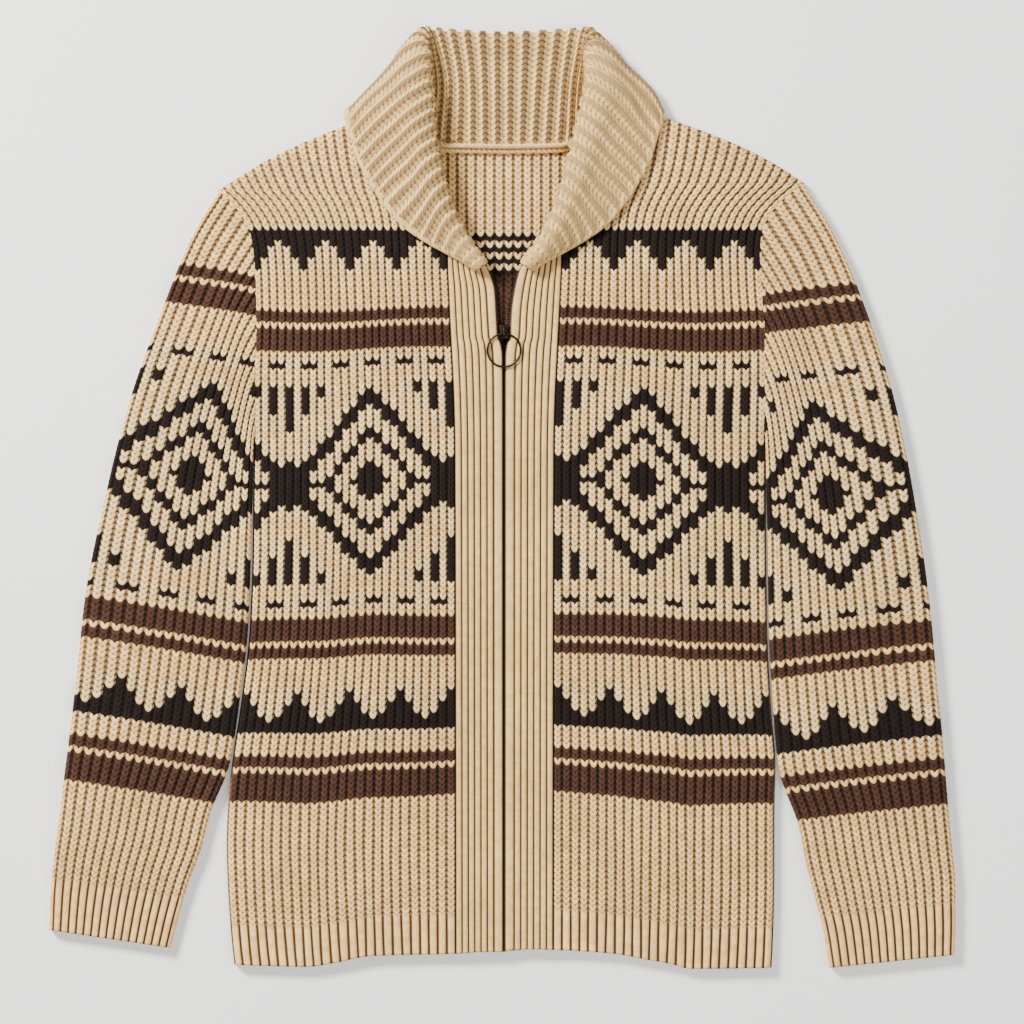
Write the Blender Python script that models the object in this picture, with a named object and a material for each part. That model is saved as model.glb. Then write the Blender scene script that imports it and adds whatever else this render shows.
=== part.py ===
"""A ribbed zip cardigan laid flat, front up, with its shawl collar rolled open.

Lengths in the tables are millimetres. "out" is the distance from the centre line,
"up" the height above the lowest point of the hem, "high" the height above the surface
that the garment lies on. Left and right are as seen from above. +X is right, +Y runs
from the hem to the collar, +Z points up from the surface.
"""
import math

import bmesh
import bpy
from mathutils import Vector

MM = 0.001

# Driving sizes of the knit.
WALL = 4.0
RIB_RISE = 1.0
SEAM_GAP = 0.3
SLEEVE_GAP = 0.8
BACK_TOP = 4.0
FRONT_MEAN = 9.0
FRONT_INSIDE = 4.4
FRONT_FULLNESS = 2.4
EDGE_HIGH = 5.6
FOLD_REACH = 7.0
HEM_DIP = 0.8
ARMHOLE_DIP = 1.0
SHOULDER_DIP = 2.6
SHOULDER_FROM_OUT = 90.0
BACK_EDGE_TUCK = 1.2
FRONT_RIBS = 25
SLEEVE_RIBS = 17
BAND_RIBS = 7
COLLAR_RIBS_PER_HALF = 25

# Sizes of the bands and the zip.
BAND_INSIDE = 6.0
BAND_MEAN = 10.2
BAND_TOP_END_MEAN = 9.0
BAND_RAMP_START = 575.0
BAND_RAMP_END = 545.0
BAND_EDGE_DIP = 0.9
BAND_RIB_SCALE = 0.8
BAND_HEM_OUT = (0.6, 41.0)
TAPE_WIDTH = 14.0
TAPE_LOW = 4.4
TAPE_HIGH = 5.6
TAPE_PEEK = 1.5
TAPE_CENTRE_CLEAR = 1.2
TAPE_END_UP = 27.0
SLIDER_UP = 541.5
SLIDER_LENGTH = 12.0
SLIDER_WIDTH = 8.2
SLIDER_NARROW = 0.78
SLIDER_LOW = 6.0
SLIDER_HIGH = 10.4
BRIDGE_REACH = 3.9
BRIDGE_HIGH = 14.8
BRIDGE_RADIUS = 0.9
BRIDGE_SUNK = 0.6
RING_RADIUS = 14.1
RING_WIRE = 0.9
RING_HIGH = 12.3
RING_PLAY = 0.5
BOX_SIZE = (7.6, 8.0, 1.2)
BOX_UP = 21.0
CORD_RADIUS = 1.7
CORD_CLEAR = 0.4


def table(columns, rows):
    """Turn rows under named columns into one list for each column."""
    names = columns.split()
    return {name: [row[place] for row in rows] for place, name in enumerate(names)}


# Each side of the body: the edge from the hem to the underarm and on along the armhole.
# Its last row lies past the shoulder and only leans the ribs there.
SIDE_EDGE = {
    "left": table("up out", [
        (3.4, 229.5), (17.0, 231.2), (74.0, 235.4), (102.0, 236.3), (130.0, 235.4),
        (172.5, 231.6), (224.4, 224.0), (292.4, 216.3), (368.9, 213.8), (453.1, 213.3),
        (505.0, 213.3), (545.0, 212.0), (580.0, 212.6), (608.6, 214.4), (622.0, 216.6),
        (634.1, 220.6), (644.3, 227.2), (655.0, 236.6), (661.3, 243.9), (736.0, 276.0)]),
    "right": table("up out", [
        (0.8, 227.8), (17.0, 228.7), (75.6, 230.3), (130.0, 230.3), (170.0, 231.2),
        (221.8, 227.4), (292.4, 224.0), (368.9, 223.1), (458.1, 222.7), (505.0, 223.6),
        (545.0, 223.2), (580.0, 220.4), (608.6, 219.3), (625.6, 221.0), (640.9, 227.4),
        (653.6, 238.8), (663.9, 251.0), (668.1, 255.8), (736.0, 284.0)]),
}
UNDERARM_UP = {"left": 453.1, "right": 458.1}
SHOULDER_TIP_UP = {"left": 661.3, "right": 668.1}

# The upper edge of a front, from the band along the neckline and the shoulder.
FRONT_TOP_EDGE = {
    "left": table("out up", [
        (40.0, 611.0), (45.0, 634.9), (54.4, 651.1), (65.5, 672.4), (74.0, 694.4),
        (79.9, 714.9), (86.7, 734.4), (138.5, 715.7), (166.6, 704.6), (208.2, 684.2),
        (243.9, 661.3)]),
    "right": table("out up", [
        (40.0, 611.0), (45.0, 634.9), (54.4, 651.1), (65.5, 672.4), (74.0, 694.4),
        (79.9, 714.9), (86.7, 735.6), (136.8, 723.6), (189.5, 704.6), (231.2, 684.2),
        (255.8, 668.1)]),
}
BACK_NECK = table("out up", [
    (0.0, 697.0), (47.6, 697.9), (61.2, 702.1), (75.6, 714.9), (86.7, 734.4)])
HEM_EDGE = {
    "left": table("out up", [
        (0.0, 14.4), (17.0, 14.4), (41.6, 12.8), (111.3, 11.0), (124.1, 9.3),
        (143.7, 5.1), (168.3, 1.7), (229.5, 3.4)]),
    "right": table("out up", [
        (0.0, 14.4), (11.9, 17.0), (41.6, 16.1), (93.5, 12.8), (118.1, 8.5),
        (141.9, 4.2), (158.1, 0.0), (227.8, 0.8)]),
}
BODY_ROWS = [0.0, 34.0, 100.0, 165.0, 230.0, 310.0, 390.0, 453.0, 505.0, 545.0, 580.0, 605.0]
SHARES_ABOVE = [0.0, 0.32, 0.54, 0.72, 0.87, 1.0]

# The bands: outer edge against the front, inner edge along the zip.
BAND_EDGES = {
    "left": table("up outer inner", [
        (12.8, 40.8, 0.6), (441.1, 41.6, 0.9), (483.6, 42.5, 1.2), (515.9, 44.0, 2.6),
        (533.8, 44.9, 4.7), (552.5, 45.9, 6.0), (577.1, 47.0, 7.6), (595.9, 47.8, 13.6),
        (623.0, 48.0, 24.0)]),
    "right": table("up outer inner", [
        (16.1, 41.6, 0.6), (441.1, 42.4, 0.9), (483.6, 43.4, 1.2), (515.9, 45.0, 2.6),
        (538.9, 46.1, 4.7), (558.4, 47.2, 6.0), (580.5, 48.2, 9.3), (595.9, 48.8, 13.6),
        (623.0, 49.0, 24.0)]),
}
BAND_ROWS = [0.0, 34.0, 120.0, 210.0, 300.0, 390.0, 441.0, 483.0, 512.0, 533.0, 555.0, 577.0]
BAND_TOP = {"outer": 622.0, "inner": 596.0}

# A sleeve's sections from the armhole to the cuff.
SLEEVE_SECTIONS = {
    "left": table("outer_out outer_up inner_out inner_up high", [
        (243.9, 661.3, 213.3, 453.1, 9.2), (266.9, 623.0, 214.2, 446.2, 10.6),
        (291.6, 561.9, 214.2, 434.3, 11.3), (320.4, 480.2, 214.2, 411.4, 11.5),
        (340.8, 398.6, 215.0, 368.9, 11.5), (357.0, 317.1, 217.6, 292.4, 11.5),
        (364.6, 245.7, 225.2, 224.4, 11.4), (370.6, 194.7, 233.4, 173.4, 11.2),
        (375.7, 153.8, 249.0, 133.4, 11.0), (379.9, 118.1, 257.6, 100.3, 10.8),
        (383.3, 92.6, 266.9, 75.6, 10.4), (385.9, 62.9, 275.4, 47.6, 9.8),
        (386.8, 33.1, 283.1, 17.8, 9.6)]),
    "right": table("outer_out outer_up inner_out inner_up high", [
        (255.8, 668.1, 222.7, 458.1, 9.2), (283.1, 623.0, 223.5, 449.6, 10.6),
        (308.6, 561.9, 223.5, 436.1, 11.3), (334.1, 480.2, 223.5, 411.4, 11.5),
        (350.2, 398.6, 224.4, 368.9, 11.5), (362.1, 317.1, 225.2, 292.4, 11.5),
        (368.9, 245.7, 228.7, 221.8, 11.4), (374.0, 190.4, 233.4, 170.0, 11.2),
        (378.2, 137.7, 249.9, 122.4, 11.0), (381.6, 101.1, 256.7, 87.5, 10.8),
        (384.2, 71.4, 263.5, 61.2, 10.4), (384.2, 41.6, 271.1, 31.4, 9.8),
        (383.3, 11.9, 276.2, 0.8, 9.6)]),
}

# One half of the collar: a row for each section, from the back centre to the front end.
# A section runs from the neck seam up the stand, over the roll, along the fall and the
# turn under the shoulder to the free edge. Its points lie in the middle of the wall.
COLLAR_INNER = table(
    "rib seam_out seam_up seam_high stand_out stand_up stand_high roll_out roll_up roll_high", [
        (0.0, 0.0, 697.9, 5.7, 0.0, 767.5, 8.8, 0.0, 793.5, 6.8),
        (2.6, 27.2, 697.9, 5.7, 28.1, 769.2, 8.8, 28.9, 795.2, 7.0),
        (4.6, 48.4, 698.7, 5.7, 46.8, 767.5, 9.2, 49.3, 796.4, 9.0),
        (5.7, 56.9, 702.1, 5.7, 54.0, 765.9, 10.0, 59.0, 797.3, 12.0),
        (6.8, 63.0, 706.5, 5.8, 58.4, 763.0, 10.4, 63.4, 796.9, 15.0),
        (8.0, 67.6, 712.4, 6.8, 62.0, 758.0, 11.8, 65.5, 789.6, 18.8),
        (9.2, 71.8, 719.6, 8.8, 65.4, 750.6, 13.4, 65.0, 776.9, 23.4),
        (10.8, 78.4, 724.4, 10.9, 68.4, 739.0, 16.0, 63.4, 758.2, 25.6),
        (12.4, 84.0, 712.0, 14.4, 69.6, 720.4, 19.4, 61.2, 738.6, 25.6),
        (14.1, 79.0, 695.6, 11.9, 66.0, 704.6, 17.6, 59.5, 718.2, 24.4),
        (15.9, 72.4, 677.4, 11.2, 62.0, 689.4, 15.6, 56.5, 696.1, 22.4),
        (17.7, 62.6, 657.0, 11.2, 55.2, 667.2, 14.6, 51.4, 674.0, 20.6),
        (19.6, 51.6, 637.5, 11.2, 46.9, 646.0, 13.8, 44.6, 651.1, 18.8),
        (21.7, 38.6, 619.6, 11.2, 36.4, 624.0, 13.4, 33.6, 626.4, 17.0),
        (23.4, 29.2, 609.4, 11.5, 26.8, 610.0, 13.0, 23.2, 610.4, 16.0),
        (25.0, 21.6, 602.8, 11.9, 18.9, 601.6, 12.8, 15.0, 599.4, 15.6)])
COLLAR_OUTER = table(
    "rib brow_out brow_up brow_high turn_out turn_up turn_high "
    "under_out under_up under_high free_out free_up free_high", [
        (0.0, 0.0, 776.0, 2.1, 0.0, 752.2, 2.0, 0.0, 728.4, 2.0, 0.0, 704.6, 2.0),
        (2.6, 28.9, 777.8, 2.1, 28.9, 753.9, 2.0, 28.9, 730.1, 2.0, 28.1, 704.6, 2.0),
        (4.6, 51.0, 781.1, 2.3, 53.5, 757.4, 2.0, 57.8, 735.2, 2.0, 62.0, 714.9, 2.0),
        (5.7, 62.9, 784.5, 3.0, 69.7, 764.1, 2.0, 79.0, 752.5, 2.0, 87.6, 742.0, 2.0),
        (6.8, 71.5, 788.0, 5.4, 85.0, 769.2, 2.3, 97.8, 752.2, 2.0, 109.0, 736.4, 2.0),
        (8.0, 79.2, 784.0, 12.5, 96.0, 766.7, 7.5, 115.6, 747.1, 6.5, 136.0, 728.4, 6.5),
        (9.2, 78.3, 770.9, 24.9, 96.0, 755.6, 19.4, 116.5, 737.8, 14.2, 134.3, 719.1, 11.9),
        (10.8, 75.6, 752.2, 28.6, 96.0, 736.9, 23.2, 114.8, 719.9, 17.2, 129.6, 704.6, 12.1),
        (12.4, 72.2, 732.7, 28.8, 91.8, 716.5, 23.4, 109.6, 700.4, 17.4, 123.7, 685.9, 12.1),
        (14.1, 69.7, 712.3, 28.2, 86.7, 697.0, 23.0, 102.0, 682.5, 17.0, 114.8, 668.9, 12.1),
        (15.9, 65.5, 691.0, 26.8, 79.0, 676.6, 22.0, 92.6, 664.7, 16.6, 104.5, 652.8, 12.1),
        (17.7, 59.5, 668.1, 25.0, 69.7, 654.5, 20.8, 79.0, 642.6, 16.2, 87.5, 632.4, 12.1),
        (19.6, 51.0, 646.0, 23.0, 57.8, 636.6, 19.8, 62.9, 626.4, 15.8, 67.1, 617.9, 12.1),
        (21.7, 39.6, 622.4, 21.4, 43.5, 615.6, 18.8, 46.5, 610.6, 15.4, 47.8, 607.6, 12.4),
        (23.4, 28.6, 606.0, 20.4, 31.4, 602.8, 18.2, 33.4, 601.4, 15.2, 33.6, 600.6, 12.5),
        (25.0, 18.6, 596.6, 19.8, 21.6, 595.0, 17.8, 23.2, 594.4, 15.0, 22.8, 594.3, 12.6)])
# The two sides of the real collar lie unevenly. Above the shoulder the right one stands
# further out, and both top corners are drawn out. Each row says by how much, for the right
# side near the neck, the right side over the shoulder, and the left side.
COLLAR_LEAN = table("up right_near right_far left", [
    (700.0, 0.0, 0.0, 0.0), (712.0, 2.5, 0.0, 0.0), (728.0, 5.5, 0.3, 0.0),
    (738.0, 7.2, 7.0, 0.0), (747.0, 8.4, 9.8, 0.3), (760.0, 8.7, 8.8, 1.0),
    (775.0, 8.6, 8.6, 2.0), (784.0, 8.9, 8.9, 4.0), (790.0, 10.4, 10.4, 6.4),
    (797.0, 12.5, 12.5, 8.4)])
LEAN_FULL_OUT = 62.0
LEAN_NEAR_OUT = 85.0
LEAN_FAR_OUT = 110.0
SECTION_POINTS = ("seam", "stand", "roll", "brow", "turn", "under", "free")
SECTION_STEPS = (2, 3, 3, 2, 2, 1)
SEAM_FADE_ROWS = 2
COLLAR_RIB_SCALE = 1.2
RESTING_HIGH = 3.0
COLLAR_EDGE_SHARE = 0.65

COLOURS = {
    "knit": (0.78, 0.60, 0.36),
    "trim": (0.69, 0.54, 0.34),
    "tape": (0.05, 0.035, 0.025),
    "metal": (0.06, 0.045, 0.03),
}


def smooth_curve(knots, values):
    """Return a smooth curve through the points that never overshoots them."""
    spans = [b - a for a, b in zip(knots, knots[1:])]
    rises = [(b - a) / span for a, b, span in zip(values, values[1:], spans)]
    slopes = [rises[0]]
    for place in range(1, len(rises)):
        before, after = rises[place - 1], rises[place]
        if before * after <= 0.0:
            slopes.append(0.0)
            continue
        near = 2.0 * spans[place] + spans[place - 1]
        far = spans[place] + 2.0 * spans[place - 1]
        slopes.append((near + far) / (near / before + far / after))
    slopes.append(rises[-1])

    def read(at):
        if at <= knots[0]:
            return values[0]
        if at >= knots[-1]:
            return values[-1]
        place = max(k for k in range(len(spans)) if knots[k] <= at)
        span = spans[place]
        s = (at - knots[place]) / span
        rise = values[place] * (1 + 2 * s) * (1 - s) ** 2
        rise += values[place + 1] * s * s * (3 - 2 * s)
        rise += span * slopes[place] * s * (1 - s) ** 2
        rise -= span * slopes[place + 1] * s * s * (1 - s)
        return rise

    return read


def curve_of(rows, by, column):
    """Return one column of a table as a smooth curve along another."""
    return smooth_curve(rows[by], rows[column])


def blend(a, b, share):
    """Return the value that lies the given share of the way from a to b."""
    return a + (b - a) * share


def ease(at, start, end):
    """Return a soft step from 0 at start to 1 at end."""
    s = min(max((at - start) / (end - start), 0.0), 1.0)
    return s * s * (3 - 2 * s)


def round_edge(distance, reach, depth):
    """Return how far a surface has dropped at a distance from its rounded edge."""
    if distance >= reach:
        return 0.0
    short = 1.0 - max(distance, 0.0) / reach
    return depth * (1.0 - math.sqrt(max(0.0, 1.0 - short * short)))


def swell(share):
    """Return a soft hump that is 0 at both ends and 1 in the middle."""
    return math.sin(math.pi * min(max(share, 0.0), 1.0)) ** 2


def lay_grid(bm, across, along, place):
    """Lay a sheet of quads with its corners at place(column, row), in millimetres."""
    corners = bmesh.ops.create_grid(bm, x_segments=across, y_segments=along, size=1.0)["verts"]
    columns = [[None] * (along + 1) for _ in range(across + 1)]
    for corner in corners:
        column = round((corner.co.x + 1.0) / 2.0 * across)
        row = round((corner.co.y + 1.0) / 2.0 * along)
        columns[column][row] = corner
    for column in range(across + 1):
        for row in range(along + 1):
            columns[column][row].co = Vector(place(column, row)) * MM
    return columns


def even_marks(chain):
    """Return each corner's share of the way along a chain of corners."""
    return [place / (len(chain) - 1) for place in range(len(chain))]


def close_rim(bm, first, second, marks=None):
    """Close the rim between two chains of corners that run side by side."""
    first_share, second_share = marks or (even_marks(first), even_marks(second))
    a = 0
    b = 0
    while a < len(first) - 1 or b < len(second) - 1:
        next_a = first_share[a + 1] if a < len(first) - 1 else 2.0
        next_b = second_share[b + 1] if b < len(second) - 1 else 2.0
        if next_a <= next_b:
            bm.faces.new((first[a], first[a + 1], second[b]))
            a += 1
        else:
            bm.faces.new((first[a], second[b + 1], second[b]))
            b += 1


def row_chain(columns, row):
    """Return the corners of one row of a grid."""
    return [column[row] for column in columns]


def knit_wall(name, outside, inside, material, tube_marks=None):
    """Make a closed wall of cloth from its ribbed outside and its plain inside."""
    bm = bmesh.new()
    outer = lay_grid(bm, *outside)
    inner = lay_grid(bm, *inside)
    close_rim(bm, row_chain(outer, 0), row_chain(inner, 0), tube_marks)
    close_rim(bm, row_chain(outer, -1), row_chain(inner, -1), tube_marks)
    if not tube_marks:
        close_rim(bm, outer[0], inner[0])
        close_rim(bm, outer[-1], inner[-1])
    bmesh.ops.remove_doubles(bm, verts=bm.verts, dist=0.00002)
    return finish_piece(name, bm, material)


def finish_piece(name, bm, material):
    """Turn the faces outwards and put the piece in the garment's collection."""
    bmesh.ops.recalc_face_normals(bm, faces=bm.faces)
    if bm.calc_volume(signed=True) < 0.0:
        bmesh.ops.reverse_faces(bm, faces=bm.faces)
    mesh = bpy.data.meshes.new(name)
    bm.to_mesh(mesh)
    bm.free()
    piece = bpy.data.objects.new(name, mesh)
    mesh.materials.append(material)
    GARMENT.objects.link(piece)
    return piece


def make_material(name, colour, roughness, metallic=0.0):
    """Make a plain finish for one kind of piece."""
    material = bpy.data.materials.new(name)
    material.use_nodes = True
    shader = material.node_tree.nodes["Principled BSDF"]
    shader.inputs["Base Color"].default_value = (*colour, 1.0)
    shader.inputs["Roughness"].default_value = roughness
    shader.inputs["Metallic"].default_value = metallic
    material.diffuse_color = (*colour, 1.0)
    return material


def sign_of(side):
    """Return -1 on the left and 1 on the right."""
    return -1.0 if side == "left" else 1.0


def rib_wave(column):
    """Return the height of the ribs at a half-rib column: crest or groove."""
    return RIB_RISE / 2.0 if column % 2 else -RIB_RISE / 2.0


def meeting_height(rib_line, edge, low, high):
    """Return the height where a rib's line meets the upper edge of its panel."""
    for _ in range(30):
        middle = (low + high) / 2.0
        if middle < edge(rib_line(middle)):
            low = middle
        else:
            high = middle
    return low


class BodySide:
    """One half of the body: where a share across and a row lie on the surface."""

    def __init__(self, side, top_edge, inner_out):
        self.side = side
        self.edge_out = curve_of(SIDE_EDGE[side], "up", "out")
        self.hem_up = curve_of(HEM_EDGE[side], "out", "up")
        self.top_up = curve_of(top_edge, "out", "up")
        self.inner_out = inner_out

    def rib_out(self, share, up):
        """Return how far out the rib at this share lies at this height."""
        return blend(self.inner_out(up), self.edge_out(up) - SEAM_GAP, share)

    def place(self, share, row):
        """Return out and up for a share across the panel and a row of it."""
        if row < len(BODY_ROWS):
            level = BODY_ROWS[row]
            hem = self.hem_up(self.rib_out(share, 0.0))
            up = hem + level * (BODY_ROWS[-1] - hem) / BODY_ROWS[-1]
        else:
            top = meeting_height(lambda at: self.rib_out(share, at), self.top_up, 590.0, 760.0)
            up = blend(BODY_ROWS[-1], top, SHARES_ABOVE[row - len(BODY_ROWS) + 1])
        return self.rib_out(share, up), up


def front_swell(share, up):
    """Return the soft fullness of a front above the back."""
    return FRONT_FULLNESS * swell(share * 0.9 + 0.05) * swell((up + 40.0) / 660.0)


def make_front(side, material):
    """Make one front: ribbed outside, plain inside, rounded at the side and shoulder."""
    band_out = curve_of(BAND_EDGES[side], "up", "outer")
    body = BodySide(side, FRONT_TOP_EDGE[side], lambda up: band_out(up) + SEAM_GAP)
    sign = sign_of(side)
    last_row = len(BODY_ROWS) + len(SHARES_ABOVE) - 2
    columns = FRONT_RIBS * 2
    inside_columns = 12

    def height(share, out, up):
        high = FRONT_MEAN + front_swell(share, up)
        to_side = body.edge_out(up) - out
        to_shoulder = (body.top_up(out) - up) if out > SHOULDER_FROM_OUT else FOLD_REACH
        if up < UNDERARM_UP[side]:
            high -= round_edge(to_side, FOLD_REACH, high - EDGE_HIGH)
        else:
            high -= round_edge(to_side, FOLD_REACH, ARMHOLE_DIP)
        return high - round_edge(to_shoulder, FOLD_REACH, SHOULDER_DIP)

    def outside(column, row):
        share = column / columns
        out, up = body.place(share, row)
        high = height(share, out, up)
        if 0 < column < columns and 0 < row < last_row:
            high += rib_wave(column)
        if row == 0:
            high -= HEM_DIP
        return sign * out, up, high

    def inside(column, row):
        share = column / inside_columns
        out, up = body.place(share, row)
        return sign * out, up, FRONT_INSIDE + front_swell(share, up)

    return knit_wall("front_panel_" + side, (columns, last_row, outside),
                     (inside_columns, last_row, inside), material)


def make_back(material):
    """Make the back: flat where it rests, with its neckline dipped between the shoulders."""
    halves = {}
    for side in ("left", "right"):
        shoulder = FRONT_TOP_EDGE[side]
        corner = shoulder["out"].index(86.7)
        edge = {
            "out": BACK_NECK["out"][:-1] + shoulder["out"][corner:],
            "up": BACK_NECK["up"][:-1] + shoulder["up"][corner:],
        }
        halves[side] = BodySide(side, edge, lambda up: 0.0)
    shares = [0.0, 0.1, 0.2, 0.25, 0.3, 0.34, 0.38, 0.5, 0.62, 0.74, 0.86, 1.0]
    last = len(shares) - 1
    last_row = len(BODY_ROWS) + len(SHARES_ABOVE) - 2

    def spot(column, row):
        side = "left" if column < last else "right"
        out, up = halves[side].place(shares[abs(column - last)], row)
        if column == last:
            up = (up + halves["left"].place(0.0, row)[1]) / 2.0
        return side, out, up

    def top(column, row):
        side, out, up = spot(column, row)
        return sign_of(side) * out, up, BACK_TOP

    def bottom(column, row):
        side, out, up = spot(column, row)
        if column in (0, 2 * last):
            out -= BACK_EDGE_TUCK
        if row == 0:
            up += BACK_EDGE_TUCK
        if row == last_row:
            up -= BACK_EDGE_TUCK
        return sign_of(side) * out, up, 0.0

    return knit_wall("back_panel", (2 * last, last_row, top), (2 * last, last_row, bottom), material)


def along_path(points):
    """Return a function that reads a path by its share of the length."""
    lengths = [0.0]
    for a, b in zip(points, points[1:]):
        lengths.append(lengths[-1] + math.dist(a, b))
    shares = [length / lengths[-1] for length in lengths]
    out_at = smooth_curve(shares, [point[0] for point in points])
    up_at = smooth_curve(shares, [point[1] for point in points])
    return lambda share: (out_at(share), up_at(share))


def armhole_path(side):
    """Return the armhole from the shoulder tip down to the underarm."""
    edge = SIDE_EDGE[side]
    rows = [(out, up) for out, up in zip(edge["out"], edge["up"])
            if UNDERARM_UP[side] <= up <= SHOULDER_TIP_UP[side]]
    return along_path(rows[::-1])


def make_sleeve(side, material):
    """Make one sleeve: a tube lying flat, its ribs running from the armhole to the cuff."""
    rows = SLEEVE_SECTIONS[side]
    last_row = len(rows["high"]) - 1
    armhole = armhole_path(side)
    sign = sign_of(side)

    def spot(share, row):
        outer = Vector((rows["outer_out"][row], rows["outer_up"][row]))
        inner = Vector((rows["inner_out"][row], rows["inner_up"][row]))
        place = outer.lerp(inner, share)
        shoulder, underarm = Vector(armhole(0.0)), Vector(armhole(1.0))
        bow = Vector(armhole(share)) - shoulder.lerp(underarm, share)
        place += bow * (1.0 - row / last_row) ** 2
        place.x += SLEEVE_GAP
        return place

    def width(row):
        return math.dist((rows["outer_out"][row], rows["outer_up"][row]),
                         (rows["inner_out"][row], rows["inner_up"][row]))

    def crown(share, row):
        return rows["high"][row] + 0.6 * swell(share) * swell(row / last_row)

    def around(top_columns, bottom_columns, inset, low, roof):
        """Lay out one wall of the tube: its top, inner fold, bottom and outer fold."""
        stops = []
        for column in range(top_columns + 1):
            stops.append(("top", column / top_columns, column, 0.45 * column / top_columns))
        for step, turn in enumerate((45.0, 0.0, -45.0)):
            stops.append(("inner", turn, 0, 0.45 + 0.0125 * (step + 1)))
        for column in range(bottom_columns + 1):
            stops.append(("bottom", 1.0 - column / bottom_columns, 0,
                          0.5 + 0.45 * column / bottom_columns))
        for step, turn in enumerate((-45.0, 0.0, 45.0)):
            stops.append(("outer", turn, 0, 0.95 + 0.0125 * (step + 1)))
        stops.append((*stops[0][:3], 1.0))

        def place(number, row):
            kind, value, column, _ = stops[number]
            wide = width(row)
            middle = (low + roof(0.5, row)) / 2.0
            radius = (roof(0.5, row) - low) / 2.0
            edge = (inset + radius) / wide
            if kind == "top":
                share = blend(edge, 1.0 - edge, value)
                high = roof(share, row)
                if 0 < column < top_columns:
                    high += rib_wave(column) if inset == 0.0 else 0.0
            elif kind == "bottom":
                share = blend(edge, 1.0 - edge, value)
                high = low
            else:
                turn = math.radians(value)
                share = (inset + radius * (1.0 - math.cos(turn))) / wide
                if kind == "inner":
                    share = 1.0 - share
                high = middle + radius * math.sin(turn)
            spot_here = spot(share, row)
            return sign * spot_here.x, spot_here.y, high

        return (len(stops) - 1, last_row, place), [stop[3] for stop in stops]

    outside, outside_marks = around(SLEEVE_RIBS * 2, 4, 0.0, 0.0, crown)
    inside, inside_marks = around(8, 4, WALL, WALL, lambda share, row: crown(share, row) - WALL)
    return knit_wall("sleeve_" + side, outside, inside, material,
                     (outside_marks, inside_marks))


def make_band(side, material):
    """Make one ribbed band beside the zip, opening in a curve at its upper end."""
    edges = BAND_EDGES[side]
    outer_out = curve_of(edges, "up", "outer")
    inner_out = curve_of(edges, "up", "inner")
    hem_up = curve_of(HEM_EDGE[side], "out", "up")
    sign = sign_of(side)
    columns = BAND_RIBS * 2
    last_row = len(BAND_ROWS)

    def spot(share, row):
        if row < last_row:
            hem = hem_up(blend(*BAND_HEM_OUT, share))
            up = hem + BAND_ROWS[row] * (BAND_ROWS[-1] - hem) / BAND_ROWS[-1]
        else:
            up = blend(BAND_TOP["inner"], BAND_TOP["outer"], share)
        return blend(inner_out(up), outer_out(up), share), up

    def outside(column, row):
        share = column / columns
        out, up = spot(share, row)
        ramp = min(max((BAND_RAMP_START - up) / (BAND_RAMP_START - BAND_RAMP_END), 0.0), 1.0)
        high = blend(BAND_TOP_END_MEAN, BAND_MEAN, ramp)
        if column in (0, columns):
            high -= BAND_EDGE_DIP
        elif row == 0:
            high -= HEM_DIP
        else:
            high += rib_wave(column) * BAND_RIB_SCALE
        return sign * out, up, high

    def inside(column, row):
        out, up = spot(column / 2.0, row)
        return sign * out, up, BAND_INSIDE

    return knit_wall("front_band_" + side, (columns, last_row, outside),
                     (2, last_row, inside), material)


def leaned_collar():
    """Return a function for how far out a section's point lies on its own side."""
    near, far, left = (curve_of(COLLAR_LEAN, "up", column)
                       for column in ("right_near", "right_far", "left"))

    def read(point, side, out, up):
        if point in ("seam", "free"):
            return out
        lean = left(up)
        if side == "right":
            lean = blend(near(up), far(up), ease(out, LEAN_NEAR_OUT, LEAN_FAR_OUT))
        return out + lean * ease(out, 0.0, LEAN_FULL_OUT)

    return read


def collar_middle():
    """Return the middle of the collar's wall as rows of points, one row for each half rib."""
    tables = {point: COLLAR_INNER if point in ("seam", "stand", "roll") else COLLAR_OUTER
              for point in SECTION_POINTS}
    lines = {}
    for point in SECTION_POINTS:
        for part in ("out", "up", "high"):
            lines[point, part] = curve_of(tables[point], "rib", point + "_" + part)
    half_ribs = COLLAR_RIBS_PER_HALF * 2
    leaned = leaned_collar()
    grid = []
    for column in range(-half_ribs, half_ribs + 1):
        rib = abs(column) / 2.0
        side, sign = ("left", -1.0) if column < 0 else ("right", 1.0)
        section = []
        for point in SECTION_POINTS:
            up = lines[point, "up"](rib)
            out = leaned(point, side, lines[point, "out"](rib), up)
            section.append(Vector((sign * out, up, lines[point, "high"](rib))))
        grid.append(section_curve(section))
    return grid


def section_curve(section):
    """Return a section's points along a curve that turns roundly at its named points."""
    spans = [b - a for a, b in zip(section, section[1:])]
    turns = [spans[0].normalized()]
    for before, after in zip(spans, spans[1:]):
        turn = before.normalized() * after.length + after.normalized() * before.length
        turns.append(turn.normalized())
    turns.append(spans[-1].normalized())
    points = []
    for place, steps in enumerate(SECTION_STEPS):
        reach = spans[place].length
        for step in range(steps):
            s = step / steps
            point = section[place] * ((1 + 2 * s) * (1 - s) ** 2)
            point += section[place + 1] * (s * s * (3 - 2 * s))
            point += turns[place] * (reach * s * (1 - s) ** 2)
            point -= turns[place + 1] * (reach * s * s * (1 - s))
            point.z = max(point.z, WALL / 2.0)
            points.append(point)
    points.append(section[-1].copy())
    return points


def grid_normal(grid, column, row):
    """Return the direction that the collar's visible face looks in."""
    before, after = max(column - 1, 0), min(column + 1, len(grid) - 1)
    low, high = max(row - 1, 0), min(row + 1, len(grid[0]) - 1)
    along = grid[after][row] - grid[before][row]
    across = grid[column][high] - grid[column][low]
    return along.cross(across).normalized()


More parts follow.
